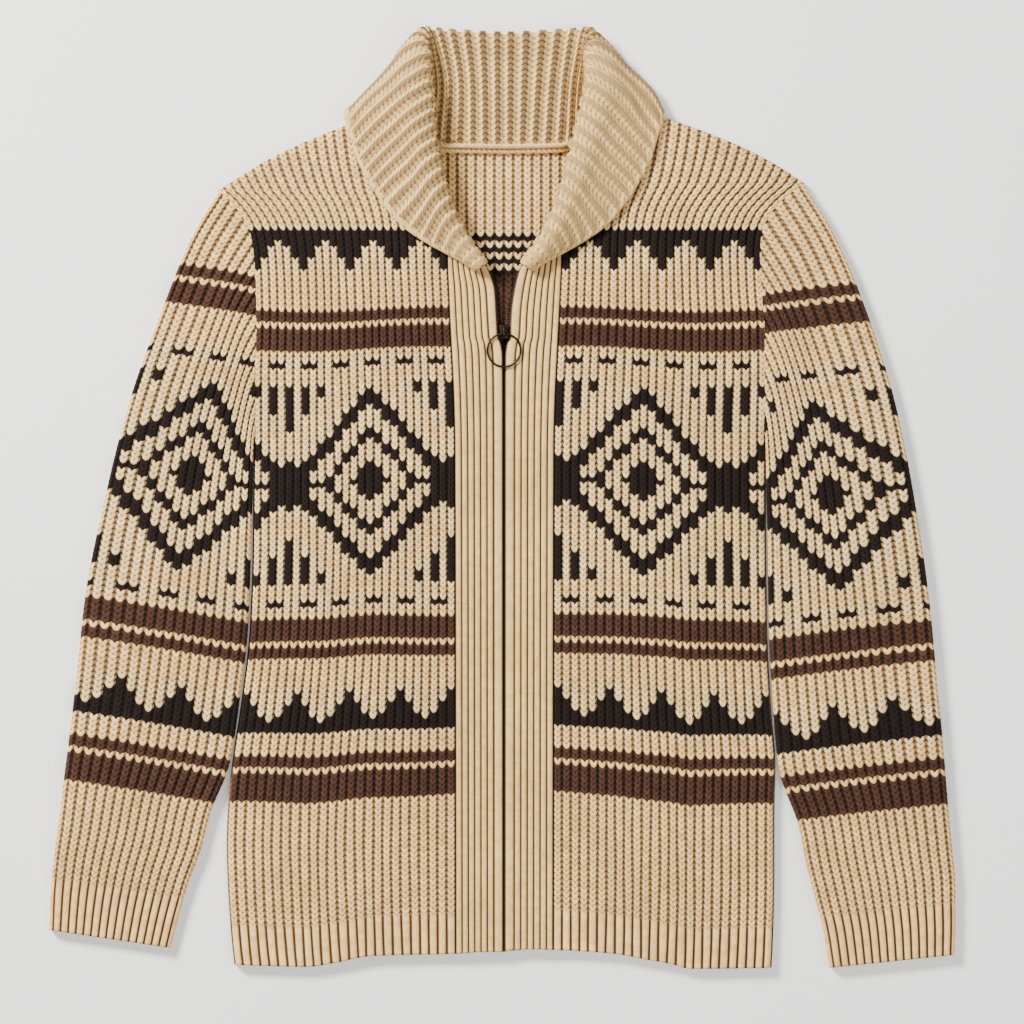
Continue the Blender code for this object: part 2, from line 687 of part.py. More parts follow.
def make_collar(material):
    """Make the collar: one strip that stands at the back, rolls over and falls on the fronts."""
    grid = collar_middle()
    columns = len(grid) - 1
    last_row = len(grid[0]) - 1
    normals = [[grid_normal(grid, column, row) for row in range(last_row + 1)]
               for column in range(columns + 1)]

    def face(column, row, way, rise):
        from_edge = min(row, last_row - row)
        half = WALL / 2.0 * min(1.0, blend(COLLAR_EDGE_SHARE, 1.0, from_edge / SEAM_FADE_ROWS))
        point = grid[column][row] + normals[column][row] * way * (half + rise)
        point.z = max(point.z, 0.0)
        return point

    def outside(column, row):
        rise = rib_wave(column) * COLLAR_RIB_SCALE
        if grid[column][row].z < RESTING_HIGH or column in (0, columns):
            rise = 0.0
        if row < SEAM_FADE_ROWS:
            rise *= row / SEAM_FADE_ROWS
        return face(column, row, 1.0, rise)

    def inside(column, row):
        return face(column, row, -1.0, 0.0)

    return knit_wall("collar", (columns, last_row, outside), (columns, last_row, inside), material)


def make_tape(side, material):
    """Make one zip tape, whose edge shows a little past the band."""
    edges = BAND_EDGES[side]
    inner_out = curve_of(edges, "up", "inner")
    sign = sign_of(side)
    levels = [TAPE_END_UP, 441.0, 483.0, 512.0, 533.0, 555.0, 577.0, 592.0]

    def spot(column, row):
        up = levels[row]
        near = max(TAPE_CENTRE_CLEAR, inner_out(up) - TAPE_PEEK)
        return near + TAPE_WIDTH * column, up

    def top(column, row):
        out, up = spot(column, row)
        return sign * out, up, TAPE_HIGH

    def bottom(column, row):
        out, up = spot(column, row)
        return sign * out, up, TAPE_LOW

    rows = len(levels) - 1
    return knit_wall("zip_tape_" + side, (1, rows, top), (1, rows, bottom), material)


def tube_along(name, points, radius, material, resolution=2):
    """Make a round tube along points as a closed mesh."""
    curve = bpy.data.curves.new(name, "CURVE")
    curve.dimensions = "3D"
    curve.bevel_depth = radius * MM
    curve.bevel_resolution = resolution
    curve.use_fill_caps = True
    spline = curve.splines.new("POLY")
    spline.points.add(len(points) - 1)
    for place, point in zip(spline.points, points):
        place.co = (*(Vector(point) * MM), 1.0)
    draft = bpy.data.objects.new(name + "_draft", curve)
    GARMENT.objects.link(draft)
    bpy.context.view_layer.update()
    shape = draft.evaluated_get(bpy.context.evaluated_depsgraph_get())
    mesh = bpy.data.meshes.new_from_object(shape)
    bm = bmesh.new()
    bm.from_mesh(mesh)
    bmesh.ops.remove_doubles(bm, verts=bm.verts, dist=0.00001)
    bpy.data.objects.remove(draft)
    return finish_piece(name, bm, material)


def make_neck_cords(material):
    """Make the two cords of the raised seam between the collar and the back."""
    neck_up = curve_of(BACK_NECK, "out", "up")
    stand_top = COLLAR_INNER["seam_high"][0] + WALL / 2.0
    seats = {
        "neck_cord_upper": (3.0, stand_top, 48.0),
        "neck_cord_lower": (-2.7, BACK_TOP, 54.0),
    }
    for name, (shift, seat, reach) in seats.items():
        points = []
        for step in range(13):
            x = blend(-reach, reach, step / 12.0)
            points.append((x, neck_up(abs(x)) + shift, seat + CORD_RADIUS + CORD_CLEAR))
        tube_along(name, points, CORD_RADIUS, material)


def make_slider(material):
    """Make the slider: a tapered body with the bridge that carries the ring."""
    bm = bmesh.new()
    bmesh.ops.create_cube(bm, size=1.0)
    for corner in bm.verts:
        taper = 1.0 if corner.co.y > 0.0 else SLIDER_NARROW
        corner.co.x *= SLIDER_WIDTH * taper * MM
        corner.co.y *= SLIDER_LENGTH * MM
        corner.co.z *= (SLIDER_HIGH - SLIDER_LOW) * MM
    bmesh.ops.translate(bm, verts=bm.verts,
                        vec=Vector((0.0, SLIDER_UP, (SLIDER_HIGH + SLIDER_LOW) / 2.0)) * MM)
    bmesh.ops.bevel(bm, geom=list(bm.edges), offset=0.9 * MM, offset_type="OFFSET", segments=2,
                    profile=0.5, affect="EDGES", material=-1)
    slider = finish_piece("zip_slider", bm, material)
    arch = []
    for step in range(9):
        turn = math.pi * step / 8.0
        forth = math.copysign(math.sqrt(abs(math.cos(turn))), math.cos(turn))
        rise = math.sqrt(math.sin(turn))
        arch.append((0.0, SLIDER_UP + BRIDGE_REACH * forth,
                     blend(SLIDER_HIGH - BRIDGE_SUNK, BRIDGE_HIGH, rise)))
    bridge = tube_along("bridge", arch, BRIDGE_RADIUS, material)
    CUTTERS.objects.link(bridge)
    GARMENT.objects.unlink(bridge)
    bridge.hide_render = True
    bridge.display_type = "WIRE"
    union = slider.modifiers.new("bridge", "BOOLEAN")
    union.operation = "UNION"
    union.object = bridge
    return slider


def make_ring(material):
    """Make the round pull, with its origin where it hangs in the bridge."""
    hinge_up = SLIDER_UP - BRIDGE_REACH + BRIDGE_RADIUS + RING_WIRE + RING_PLAY
    bpy.ops.mesh.primitive_torus_add(major_segments=36, minor_segments=8,
                                     major_radius=RING_RADIUS * MM, minor_radius=RING_WIRE * MM)
    ring = bpy.context.active_object
    ring.name = "zip_pull_ring"
    ring.data.name = "zip_pull_ring"
    for corner in ring.data.vertices:
        corner.co.y -= RING_RADIUS * MM
    ring.location = Vector((0.0, hinge_up, RING_HIGH)) * MM
    ring.data.materials.append(material)
    for collection in list(ring.users_collection):
        collection.objects.unlink(ring)
    GARMENT.objects.link(ring)
    ring.data.shade_smooth()
    return ring


def make_bottom_box(material):
    """Make the small box that ends the zip at the hem, under the bands."""
    bm = bmesh.new()
    bmesh.ops.create_cube(bm, size=1.0)
    bmesh.ops.scale(bm, verts=bm.verts, vec=Vector(BOX_SIZE) * MM)
    middle = Vector((0.0, BOX_UP, TAPE_LOW + BOX_SIZE[2] / 2.0)) * MM
    bmesh.ops.translate(bm, verts=bm.verts, vec=middle)
    return finish_piece("zip_bottom_box", bm, material)


def centre_on_origin(pieces):
    """Move every piece so that the whole garment's box is centred over the origin."""
    low = Vector((1.0, 1.0, 1.0)) * 10.0
    high = -low
    for piece in pieces:
        for corner in piece.data.vertices:
            place = piece.location + corner.co
            low = Vector(map(min, low, place))
            high = Vector(map(max, high, place))
    shift = -(low + high) / 2.0
    shift.z = -low.z
    for piece in pieces:
        piece.location += shift
    print("garment box in mm:", [round(side / MM, 1) for side in high - low])
    print("shift in mm:", [round(side / MM, 2) for side in shift])


for old in list(bpy.data.objects):
    bpy.data.objects.remove(old)

GARMENT = bpy.data.collections.new("zip_cardigan")
CUTTERS = bpy.data.collections.new("cutters")
bpy.context.scene.collection.children.link(GARMENT)
bpy.context.scene.collection.children.link(CUTTERS)

knit = make_material("ribbed_knit", COLOURS["knit"], 0.9)
trim = make_material("band_knit", COLOURS["trim"], 0.9)
tape = make_material("woven_tape", COLOURS["tape"], 0.85)
metal = make_material("dark_bronze", COLOURS["metal"], 0.4, 0.9)

make_back(knit)
for body_side in ("left", "right"):
    make_front(body_side, knit)
    make_sleeve(body_side, knit)
    make_band(body_side, trim)
    make_tape(body_side, tape)
make_collar(trim)
make_neck_cords(trim)
make_slider(metal)
make_ring(metal)
make_bottom_box(metal)
centre_on_origin([piece for piece in bpy.data.objects])
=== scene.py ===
# %% [markdown]
# # A ribbed zip cardigan, laid flat
# The real cardigan is knitted in a thick two-colour rib and lies flat with its front up.
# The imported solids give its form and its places. Every knitted piece is made again here
# as a closed shell of fine stitches on the same form, and the zip gets its metal.
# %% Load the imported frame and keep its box
import math

import bmesh
import bpy
import numpy as np
from mathutils import Matrix, Vector


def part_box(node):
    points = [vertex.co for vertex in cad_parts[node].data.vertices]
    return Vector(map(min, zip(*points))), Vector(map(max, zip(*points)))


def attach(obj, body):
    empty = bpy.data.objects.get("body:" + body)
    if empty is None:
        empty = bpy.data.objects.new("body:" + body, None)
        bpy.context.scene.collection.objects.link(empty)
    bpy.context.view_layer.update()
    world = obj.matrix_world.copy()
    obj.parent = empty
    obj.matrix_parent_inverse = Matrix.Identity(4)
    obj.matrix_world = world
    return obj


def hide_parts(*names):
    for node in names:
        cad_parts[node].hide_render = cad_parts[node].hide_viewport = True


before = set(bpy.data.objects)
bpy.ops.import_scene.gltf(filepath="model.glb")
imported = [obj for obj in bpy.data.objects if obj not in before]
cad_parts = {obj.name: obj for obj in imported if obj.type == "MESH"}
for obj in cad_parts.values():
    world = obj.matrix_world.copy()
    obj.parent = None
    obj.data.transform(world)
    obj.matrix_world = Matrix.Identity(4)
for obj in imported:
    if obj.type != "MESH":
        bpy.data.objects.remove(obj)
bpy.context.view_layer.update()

MM = 0.001
RING_UP = 525.8
ring_low, ring_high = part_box("zip_pull_ring")
SHIFT = np.array([(ring_low[0] + ring_high[0]) / 2.0 / MM,
                  (ring_low[1] + ring_high[1]) / 2.0 / MM - RING_UP, 0.0])
print("the solids' sizes are moved by", SHIFT.round(2), "mm in the frame")

# %% [markdown]
# Sizes are in millimetres. "out" is the distance from the centre line, "up" the height
# above the hem and "high" the height above the floor. The same named sizes shaped the
# solids, so what is made here lies where they lie. A table keeps each edge of the cut as
# a few rows under named columns.
# %% Repeat the sizes of the cut
WALL = 4.0
SEAM_GAP = 0.1
SLEEVE_GAP = 0.3
BACK_TOP = 4.0
FRONT_MEAN = 9.0
FRONT_INSIDE = 4.4
FRONT_FULLNESS = 2.4
EDGE_HIGH = 5.6
FOLD_REACH = 7.0
BAND_INSIDE = 6.0
BAND_MEAN = 10.2
BAND_TOP_END_MEAN = 9.0
BAND_RAMP = (545.0, 575.0)
FRONT_RIBS = 25
SLEEVE_RIBS = 17
BAND_RIBS = 7
BACK_RIBS = 50
COLLAR_RIBS = 50


def table(columns, rows):
    """Turn rows under named columns into one array for each column."""
    names = columns.split()
    return {name: np.array([row[place] for row in rows]) for place, name in enumerate(names)}


# Each side of the body: the edge from the hem to the underarm and on along the armhole.
# Its last row lies past the shoulder and only leans the ribs there.
SIDE_EDGE = {
    "left": table("up out", [
        (3.4, 229.5), (17.0, 231.2), (74.0, 235.4), (102.0, 236.3), (130.0, 235.4),
        (172.5, 231.6), (224.4, 224.0), (292.4, 216.3), (368.9, 213.8), (453.1, 213.3),
        (505.0, 213.3), (545.0, 212.0), (580.0, 212.6), (608.6, 214.4), (622.0, 216.6),
        (634.1, 220.6), (644.3, 227.2), (655.0, 236.6), (661.3, 243.9), (736.0, 276.0)]),
    "right": table("up out", [
        (0.8, 227.8), (17.0, 228.7), (75.6, 230.3), (130.0, 230.3), (170.0, 231.2),
        (221.8, 227.4), (292.4, 224.0), (368.9, 223.1), (458.1, 222.7), (505.0, 223.6),
        (545.0, 223.2), (580.0, 220.4), (608.6, 219.3), (625.6, 221.0), (640.9, 227.4),
        (653.6, 238.8), (663.9, 251.0), (668.1, 255.8), (736.0, 284.0)]),
}
UNDERARM_UP = {"left": 453.1, "right": 458.1}
SHOULDER_TIP_UP = {"left": 661.3, "right": 668.1}

# The upper edge of a front, from the band along the neckline and the shoulder.
FRONT_TOP_EDGE = {
    "left": table("out up", [
        (40.0, 611.0), (45.0, 634.9), (54.4, 651.1), (65.5, 672.4), (74.0, 694.4),
        (79.9, 714.9), (86.7, 734.4), (138.5, 715.7), (166.6, 704.6), (208.2, 684.2),
        (243.9, 661.3)]),
    "right": table("out up", [
        (40.0, 611.0), (45.0, 634.9), (54.4, 651.1), (65.5, 672.4), (74.0, 694.4),
        (79.9, 714.9), (86.7, 735.6), (136.8, 723.6), (189.5, 704.6), (231.2, 684.2),
        (255.8, 668.1)]),
}
BACK_NECK = table("out up", [
    (0.0, 697.0), (47.6, 697.9), (61.2, 702.1), (75.6, 714.9), (86.7, 734.4)])
HEM_EDGE = {
    "left": table("out up", [
        (0.0, 14.4), (17.0, 14.4), (41.6, 12.8), (111.3, 11.0), (124.1, 9.3),
        (143.7, 5.1), (168.3, 1.7), (229.5, 3.4)]),
    "right": table("out up", [
        (0.0, 14.4), (11.9, 17.0), (41.6, 16.1), (93.5, 12.8), (118.1, 8.5),
        (141.9, 4.2), (158.1, 0.0), (227.8, 0.8)]),
}
BODY_ROWS = [0.0, 34.0, 100.0, 165.0, 230.0, 310.0, 390.0, 453.0, 505.0, 545.0, 580.0, 605.0]
SHARES_ABOVE = [0.0, 0.32, 0.54, 0.72, 0.87, 1.0]

# The bands: outer edge against the front, inner edge along the zip.
BAND_EDGES = {
    "left": table("up outer inner", [
        (12.8, 40.8, 0.6), (441.1, 41.6, 0.8), (483.6, 42.5, 0.8), (520.0, 44.2, 1.0),
        (531.0, 44.8, 2.4), (537.0, 45.1, 4.9), (552.5, 45.9, 6.0), (577.1, 47.0, 7.6), (595.9, 47.8, 13.6),
        (623.0, 48.0, 24.0)]),
    "right": table("up outer inner", [
        (16.1, 41.6, 0.6), (441.1, 42.4, 0.8), (483.6, 43.4, 0.8), (520.0, 45.2, 1.0),
        (531.0, 45.8, 2.4), (537.0, 46.0, 4.9), (558.4, 47.2, 6.0), (580.5, 48.2, 9.3), (595.9, 48.8, 13.6),
        (623.0, 49.0, 24.0)]),
}
BAND_ROWS = [0.0, 34.0, 120.0, 210.0, 300.0, 390.0, 441.0, 483.0, 512.0, 533.0, 555.0, 577.0]
BAND_TOP = {"outer": 622.0, "inner": 596.0}

# A sleeve's sections from the armhole to the cuff.
SLEEVE_SECTIONS = {
    "left": table("outer_out outer_up inner_out inner_up high", [
        (243.9, 661.3, 213.3, 453.1, 9.2), (266.9, 623.0, 214.2, 446.2, 10.6),
        (291.6, 561.9, 214.2, 434.3, 11.3), (320.4, 480.2, 214.2, 411.4, 11.5),
        (340.8, 398.6, 215.0, 368.9, 11.5), (357.0, 317.1, 217.6, 292.4, 11.5),
        (364.6, 245.7, 225.2, 224.4, 11.4), (370.6, 194.7, 233.4, 173.4, 11.2),
        (375.7, 153.8, 249.0, 133.4, 11.0), (379.9, 118.1, 257.6, 100.3, 10.8),
        (383.3, 92.6, 266.9, 75.6, 10.4), (385.9, 62.9, 275.4, 47.6, 9.8),
        (386.8, 33.1, 283.1, 17.8, 9.6)]),
    "right": table("outer_out outer_up inner_out inner_up high", [
        (255.8, 668.1, 222.7, 458.1, 9.2), (283.1, 623.0, 223.5, 449.6, 10.6),
        (308.6, 561.9, 223.5, 436.1, 11.3), (334.1, 480.2, 223.5, 411.4, 11.5),
        (350.2, 398.6, 224.4, 368.9, 11.5), (362.1, 317.1, 225.2, 292.4, 11.5),
        (368.9, 245.7, 228.7, 221.8, 11.4), (374.0, 190.4, 233.4, 170.0, 11.2),
        (378.2, 137.7, 249.9, 122.4, 11.0), (381.6, 101.1, 256.7, 87.5, 10.8),
        (384.2, 71.4, 263.5, 61.2, 10.4), (384.2, 41.6, 271.1, 31.4, 9.8),
        (383.3, 11.9, 276.2, 0.8, 9.6)]),
}

# One half of the collar: a row for each section, from the back centre to the front end.
# A section runs from the neck seam up the stand, over the roll, along the fall and the
# turn under the shoulder to the free edge. Its points lie in the middle of the wall.
COLLAR_INNER = table(
    "rib seam_out seam_up seam_high stand_out stand_up stand_high roll_out roll_up roll_high", [
        (0.0, 0.0, 697.9, 5.7, 0.0, 767.5, 8.8, 0.0, 793.5, 6.8),
        (2.6, 27.2, 697.9, 5.7, 28.1, 769.2, 8.8, 28.9, 795.2, 7.0),
        (4.6, 48.4, 698.7, 5.7, 46.8, 767.5, 9.2, 49.3, 796.4, 9.0),
        (5.7, 56.9, 702.1, 5.7, 54.0, 765.9, 10.0, 59.0, 797.3, 12.0),
        (6.8, 63.0, 706.5, 5.8, 58.4, 763.0, 10.4, 63.4, 796.9, 15.0),
        (8.0, 67.6, 712.4, 6.8, 62.0, 758.0, 11.8, 65.5, 789.6, 18.8),
        (9.2, 71.8, 719.6, 8.8, 65.4, 750.6, 13.4, 65.0, 776.9, 23.4),
        (10.8, 78.4, 724.4, 10.9, 68.4, 739.0, 16.0, 63.4, 758.2, 25.6),
        (12.4, 84.0, 712.0, 14.4, 69.6, 720.4, 19.4, 61.2, 738.6, 25.6),
        (14.1, 79.0, 695.6, 11.9, 66.0, 704.6, 17.6, 59.5, 718.2, 24.4),
        (15.9, 72.4, 677.4, 11.2, 62.0, 689.4, 15.6, 56.5, 696.1, 22.4),
        (17.7, 62.6, 657.0, 11.2, 55.2, 667.2, 14.6, 51.4, 674.0, 20.6),
        (19.6, 51.6, 637.5, 11.2, 46.9, 646.0, 13.8, 44.6, 651.1, 18.8),
        (21.7, 38.6, 619.6, 11.2, 36.4, 624.0, 13.4, 33.6, 626.4, 17.0),
        (23.4, 29.2, 609.4, 11.5, 26.8, 610.0, 13.0, 23.2, 610.4, 16.0),
        (25.0, 21.6, 602.8, 11.9, 18.9, 601.6, 12.8, 15.0, 599.4, 15.6)])
COLLAR_OUTER = table(
    "rib brow_out brow_up brow_high turn_out turn_up turn_high "
    "under_out under_up under_high free_out free_up free_high", [
        (0.0, 0.0, 776.0, 2.1, 0.0, 752.2, 2.0, 0.0, 728.4, 2.0, 0.0, 704.6, 2.0),
        (2.6, 28.9, 777.8, 2.1, 28.9, 753.9, 2.0, 28.9, 730.1, 2.0, 28.1, 704.6, 2.0),
        (4.6, 51.0, 781.1, 2.3, 53.5, 757.4, 2.0, 57.8, 735.2, 2.0, 62.0, 714.9, 2.0),
        (5.7, 62.9, 784.5, 3.0, 69.7, 764.1, 2.0, 79.0, 752.5, 2.0, 87.6, 742.0, 2.0),
        (6.8, 71.5, 788.0, 5.4, 85.0, 769.2, 2.3, 97.8, 752.2, 2.0, 109.0, 736.4, 2.0),
        (8.0, 79.2, 784.0, 12.5, 96.0, 766.7, 7.5, 115.6, 747.1, 6.5, 136.0, 728.4, 6.5),
        (9.2, 78.3, 770.9, 24.9, 96.0, 755.6, 19.4, 116.5, 737.8, 14.2, 134.3, 719.1, 11.9),
        (10.8, 75.6, 752.2, 28.6, 96.0, 736.9, 23.2, 114.8, 719.9, 17.2, 129.6, 704.6, 12.1),
        (12.4, 72.2, 732.7, 28.8, 91.8, 716.5, 23.4, 109.6, 700.4, 17.4, 123.7, 685.9, 12.1),
        (14.1, 69.7, 712.3, 28.2, 86.7, 697.0, 23.0, 102.0, 682.5, 17.0, 114.8, 668.9, 12.1),
        (15.9, 65.5, 691.0, 26.8, 79.0, 676.6, 22.0, 92.6, 664.7, 16.6, 104.5, 652.8, 12.1),
        (17.7, 59.5, 668.1, 25.0, 69.7, 654.5, 20.8, 79.0, 642.6, 16.2, 87.5, 632.4, 12.1),
        (19.6, 51.0, 646.0, 23.0, 57.8, 636.6, 19.8, 62.9, 626.4, 15.8, 67.1, 617.9, 12.1),
        (21.7, 39.6, 622.4, 21.4, 43.5, 615.6, 18.8, 46.5, 610.6, 15.4, 47.8, 607.6, 12.4),
        (23.4, 28.6, 606.0, 20.4, 31.4, 602.8, 18.2, 33.4, 601.4, 15.2, 33.6, 600.6, 12.5),
        (25.0, 18.6, 596.6, 19.8, 21.6, 595.0, 17.8, 23.2, 594.4, 15.0, 22.8, 594.3, 12.6)])
# The two sides of the real collar lie unevenly. Above the shoulder the right one stands
# further out, and both top corners are drawn out. Each row says by how much, for the right
# side near the neck, the right side over the shoulder, and the left side.
COLLAR_LEAN = table("up right_near right_far left", [
    (700.0, 0.0, 0.0, 0.0), (712.0, 2.5, 0.0, 0.0), (728.0, 5.5, 0.3, 0.0),
    (738.0, 7.2, 7.0, 0.0), (747.0, 8.4, 9.8, 0.3), (760.0, 8.7, 8.8, 1.0),
    (775.0, 8.6, 8.6, 2.0), (784.0, 8.9, 8.9, 4.0), (790.0, 10.4, 10.4, 6.4),
    (797.0, 12.5, 12.5, 8.4)])
LEAN_FULL_OUT = 62.0
LEAN_NEAR_OUT = 85.0
LEAN_FAR_OUT = 110.0
SECTION_POINTS = ("seam", "stand", "roll", "brow", "turn", "under", "free")
COLLAR_EDGE_SHARE = 0.65
COLLAR_FADE_STEPS = 2.0
print("the collar is drawn through", len(COLLAR_INNER["rib"]), "sections a side")

# %% [markdown]
# A curve through a table has to be smooth but must never swing past its rows, or the
# cut would grow bumps that nobody drew. A monotone cubic does that. It is worked out
# for a whole array of places at once, since each piece has tens of thousands of corners.
# %% Read a table as a smooth curve
def smooth(knots, values, at):
    """Return the smooth curve through the rows, read at every place in an array."""
    knots, values = np.asarray(knots, float), np.asarray(values, float)
    at = np.clip(at, knots[0], knots[-1])
    spans = np.diff(knots)
    rises = np.diff(values) / spans
    before, after = rises[:-1], rises[1:]
    near = 2.0 * spans[1:] + spans[:-1]
    far = spans[1:] + 2.0 * spans[:-1]
    same_way = before * after > 0.0
    inner = np.zeros(len(before))
    inner[same_way] = (near + far)[same_way] / (near[same_way] / before[same_way]
                                                + far[same_way] / after[same_way])
    slopes = np.concatenate(([rises[0]], inner, [rises[-1]]))
    place = np.clip(np.searchsorted(knots, at, side="right") - 1, 0, len(spans) - 1)
    span = spans[place]
    s = (at - knots[place]) / span
    read = values[place] * (1 + 2 * s) * (1 - s) ** 2
    read += values[place + 1] * s * s * (3 - 2 * s)
    read += span * slopes[place] * s * (1 - s) ** 2
    return read - span * slopes[place + 1] * s * s * (1 - s)


def curve_of(rows, by, column):
    """Return one column of a table as a smooth curve along another."""
    return lambda at: smooth(rows[by], rows[column], at)


def blend(a, b, share):
    """Return what lies the given share of the way from a to b."""
    return a + (b - a) * share


def ease(at, start, end):
    """Return a soft step from 0 at start to 1 at end."""
    s = np.clip((at - start) / (end - start), 0.0, 1.0)
    return s * s * (3 - 2 * s)


def round_edge(distance, reach, depth):
    """Return how far a surface has dropped at a distance from its rounded edge."""
    short = 1.0 - np.clip(distance, 0.0, reach) / reach
    return depth * (1.0 - np.sqrt(np.maximum(0.0, 1.0 - short * short)))


def swell(share):
    """Return a soft hump that is 0 at both ends and 1 in the middle."""
    return np.sin(np.pi * np.clip(share, 0.0, 1.0)) ** 2


print("the hem is", round(float(curve_of(HEM_EDGE["left"], "out", "up")(100.0)), 1),
      "mm up at 100 mm out")

# %% [markdown]
# ## The knit
# A rib is a column of V-shaped stitches with a narrow groove on each side. The rows of
# corners follow those Vs: they lie lower in the middle of a rib than at its grooves. A
# change of yarn between two rows then gets the toothed edge that real knitting has, with
# no picture. "u" counts ribs and "v" counts stitches, and both are kept as the UV map.
# %% Lay out ribs and stitches
STITCH = 4.9
V_LEAN = 0.72
ROW_STEPS = 3
RIB_STOPS = np.array([0.0, 0.14, 0.32, 0.5, 0.68, 0.86])
COARSE_STOPS = np.array([0.0, 0.25, 0.5, 0.75])
HEM_ROWS = 7.0
CUFF_ROWS = 9.0
ALL_ROWS = 200.0


def rib_line(ribs, stops=RIB_STOPS):
    """Return the u of each column of corners across a number of ribs."""
    return np.append((np.arange(ribs)[:, None] + stops).ravel(), ribs)


def from_middle(u):
    """Return 0 in the middle of a rib and 1 in its grooves."""
    return np.abs(2.0 * (u % 1.0) - 1.0)


def stitch_lines(u, rows, steps=ROW_STEPS):
    """Return the v of every corner: V-shaped lines that run straight at both ends."""
    lines = np.arange(rows * steps + 1) / steps
    fade = np.minimum(1.0, np.minimum(lines, rows - lines))
    return lines[:, None] + V_LEAN * from_middle(u)[None, :] * fade[:, None]


def rib_relief(u, v, groove, plain_rows=0.0, dent=0.22):
    """Return how far the knit lies below its crest, in ribs with a narrow groove."""
    a = from_middle(u)
    rib = groove * (np.sqrt(np.clip(1.0 - a ** 2.3, 0.0, 1.0)) - 1.0)
    s = (v - V_LEAN * a) % 1.0
    stitch = np.exp(-(a / 0.25) ** 2) + (1.0 - np.sin(np.pi * s)) ** 2
    return rib - dent * stitch * ease(v, plain_rows - 0.5, plain_rows + 0.5)


def wide_relief(u, v, groove, dent=0.18):
    """Return the same for the collar, whose furrows are as wide as its ribs."""
    a = from_middle(u)
    s = (v - V_LEAN * a) % 1.0
    return -groove * ease(a, 0.42, 0.8) - dent * (1.0 - np.sin(np.pi * s)) ** 2


def lift(points, rise, way, tube=False):
    """Move a surface along its own normals. The way is 1 or -1."""
    around = np.concatenate([points[:, -2:-1], points, points[:, 1:2]], axis=1) if tube else points
    across = np.gradient(around, axis=1)
    along = np.gradient(around, axis=0)
    if tube:
        across, along = across[:, 1:-1], along[:, 1:-1]
    normal = np.cross(across, along) * way
    length = np.linalg.norm(normal, axis=2, keepdims=True)
    normal /= np.maximum(length, 1e-9)
    lost = length[..., 0] < 1e-5
    for row in range(1, len(points)):
        normal[row][lost[row]] = normal[row - 1][lost[row]]
    return points + normal * rise[..., None]


print("a rib has", len(RIB_STOPS), "columns and a stitch", ROW_STEPS, "rows")

# %% [markdown]
# ## The yarns
# There are three yarns: a golden cream, a brown and a near black. Where two yarns are
# carried in one row, the cream lies plumper and paler, and the dark one shows behind it
# in the grooves. So each stitch keeps two colours: its own, and that of its grooves, which
# is painted shade and, in the pale stitches, also the dark yarn carried behind.
# %% Name the yarns
def linear(red, green, blue):
    """Turn a colour as seen on a screen into the light that a shader works with."""
    seen = np.array([red, green, blue]) / 255.0
    light = np.where(seen <= 0.04045, seen / 12.92, ((seen + 0.055) / 1.055) ** 2.4)
    return np.append(light, 1.0)


YARNS = {
    "cream": linear(245, 200, 131),
    "pale": linear(244, 206, 144),
    "brown": linear(71, 46, 34),
    "black": linear(29, 20, 17),
    "trim": linear(230, 191, 124),
}
# Groove colours: painted shade in the grooves of each yarn, and a darker painted shade for the collar's
# stand, which lies in shadow under the roll. In the pale stitches the near black yarn carried behind also
# shows in the groove.
GROOVE_SHADES_AND_FLOATS = {
    "cream": linear(82, 57, 34),
    "pale": linear(44, 31, 22),
    "brown": linear(26, 14, 10),
    "black": linear(12, 8, 7),
    "trim": linear(92, 66, 38),
    "collar": linear(122, 92, 58),
    "stand": linear(84, 61, 38),
}
CREAM, BROWN, BLACK, PALE = range(4)
YARN_ORDER = ["cream", "brown", "black", "pale"]
print("yarns:", ", ".join(YARN_ORDER))

# %% [markdown]
# The design is a plain one of traditional parts, charted by rule: thick and thin
# stripes, rows of stepped peaks and a wide band of stepped diamonds inside each other
# with small crosses between them. A chart reads a rib and a row and says which yarn.
# %% Chart the design
STRIPES = {
    "body": table("low high", [(28, 32), (34, 35), (53, 54), (56, 59), (107, 110), (112, 113)]),
    "sleeve": table("low high", [(28, 32), (34, 35), (53, 54), (56, 59), (113, 116), (118, 119)]),
}
PEAK_RIBS = 6
PEAK_ROWS = 7
DIAMOND_RIBS = 20
DIAMOND_MIDDLE = 83
STEP_RATIO = 1.6


def between(row, bands):
    """Say for each row whether it lies in any of the bands."""
    return sum((row >= low) & (row <= high) for low, high in zip(bands["low"], bands["high"])) > 0


def around_black(black):
    """Say which stitches lie beside a black one, where the dark yarn is carried behind."""
    near = black.copy()
    for rows, ribs in ((0, 1), (0, 2), (1, 0), (1, 1)):
        for down, left in ((1, 1), (1, -1), (-1, 1), (-1, -1)):
            near |= np.roll(black, (rows * down, ribs * left), axis=(0, 1))
    return near


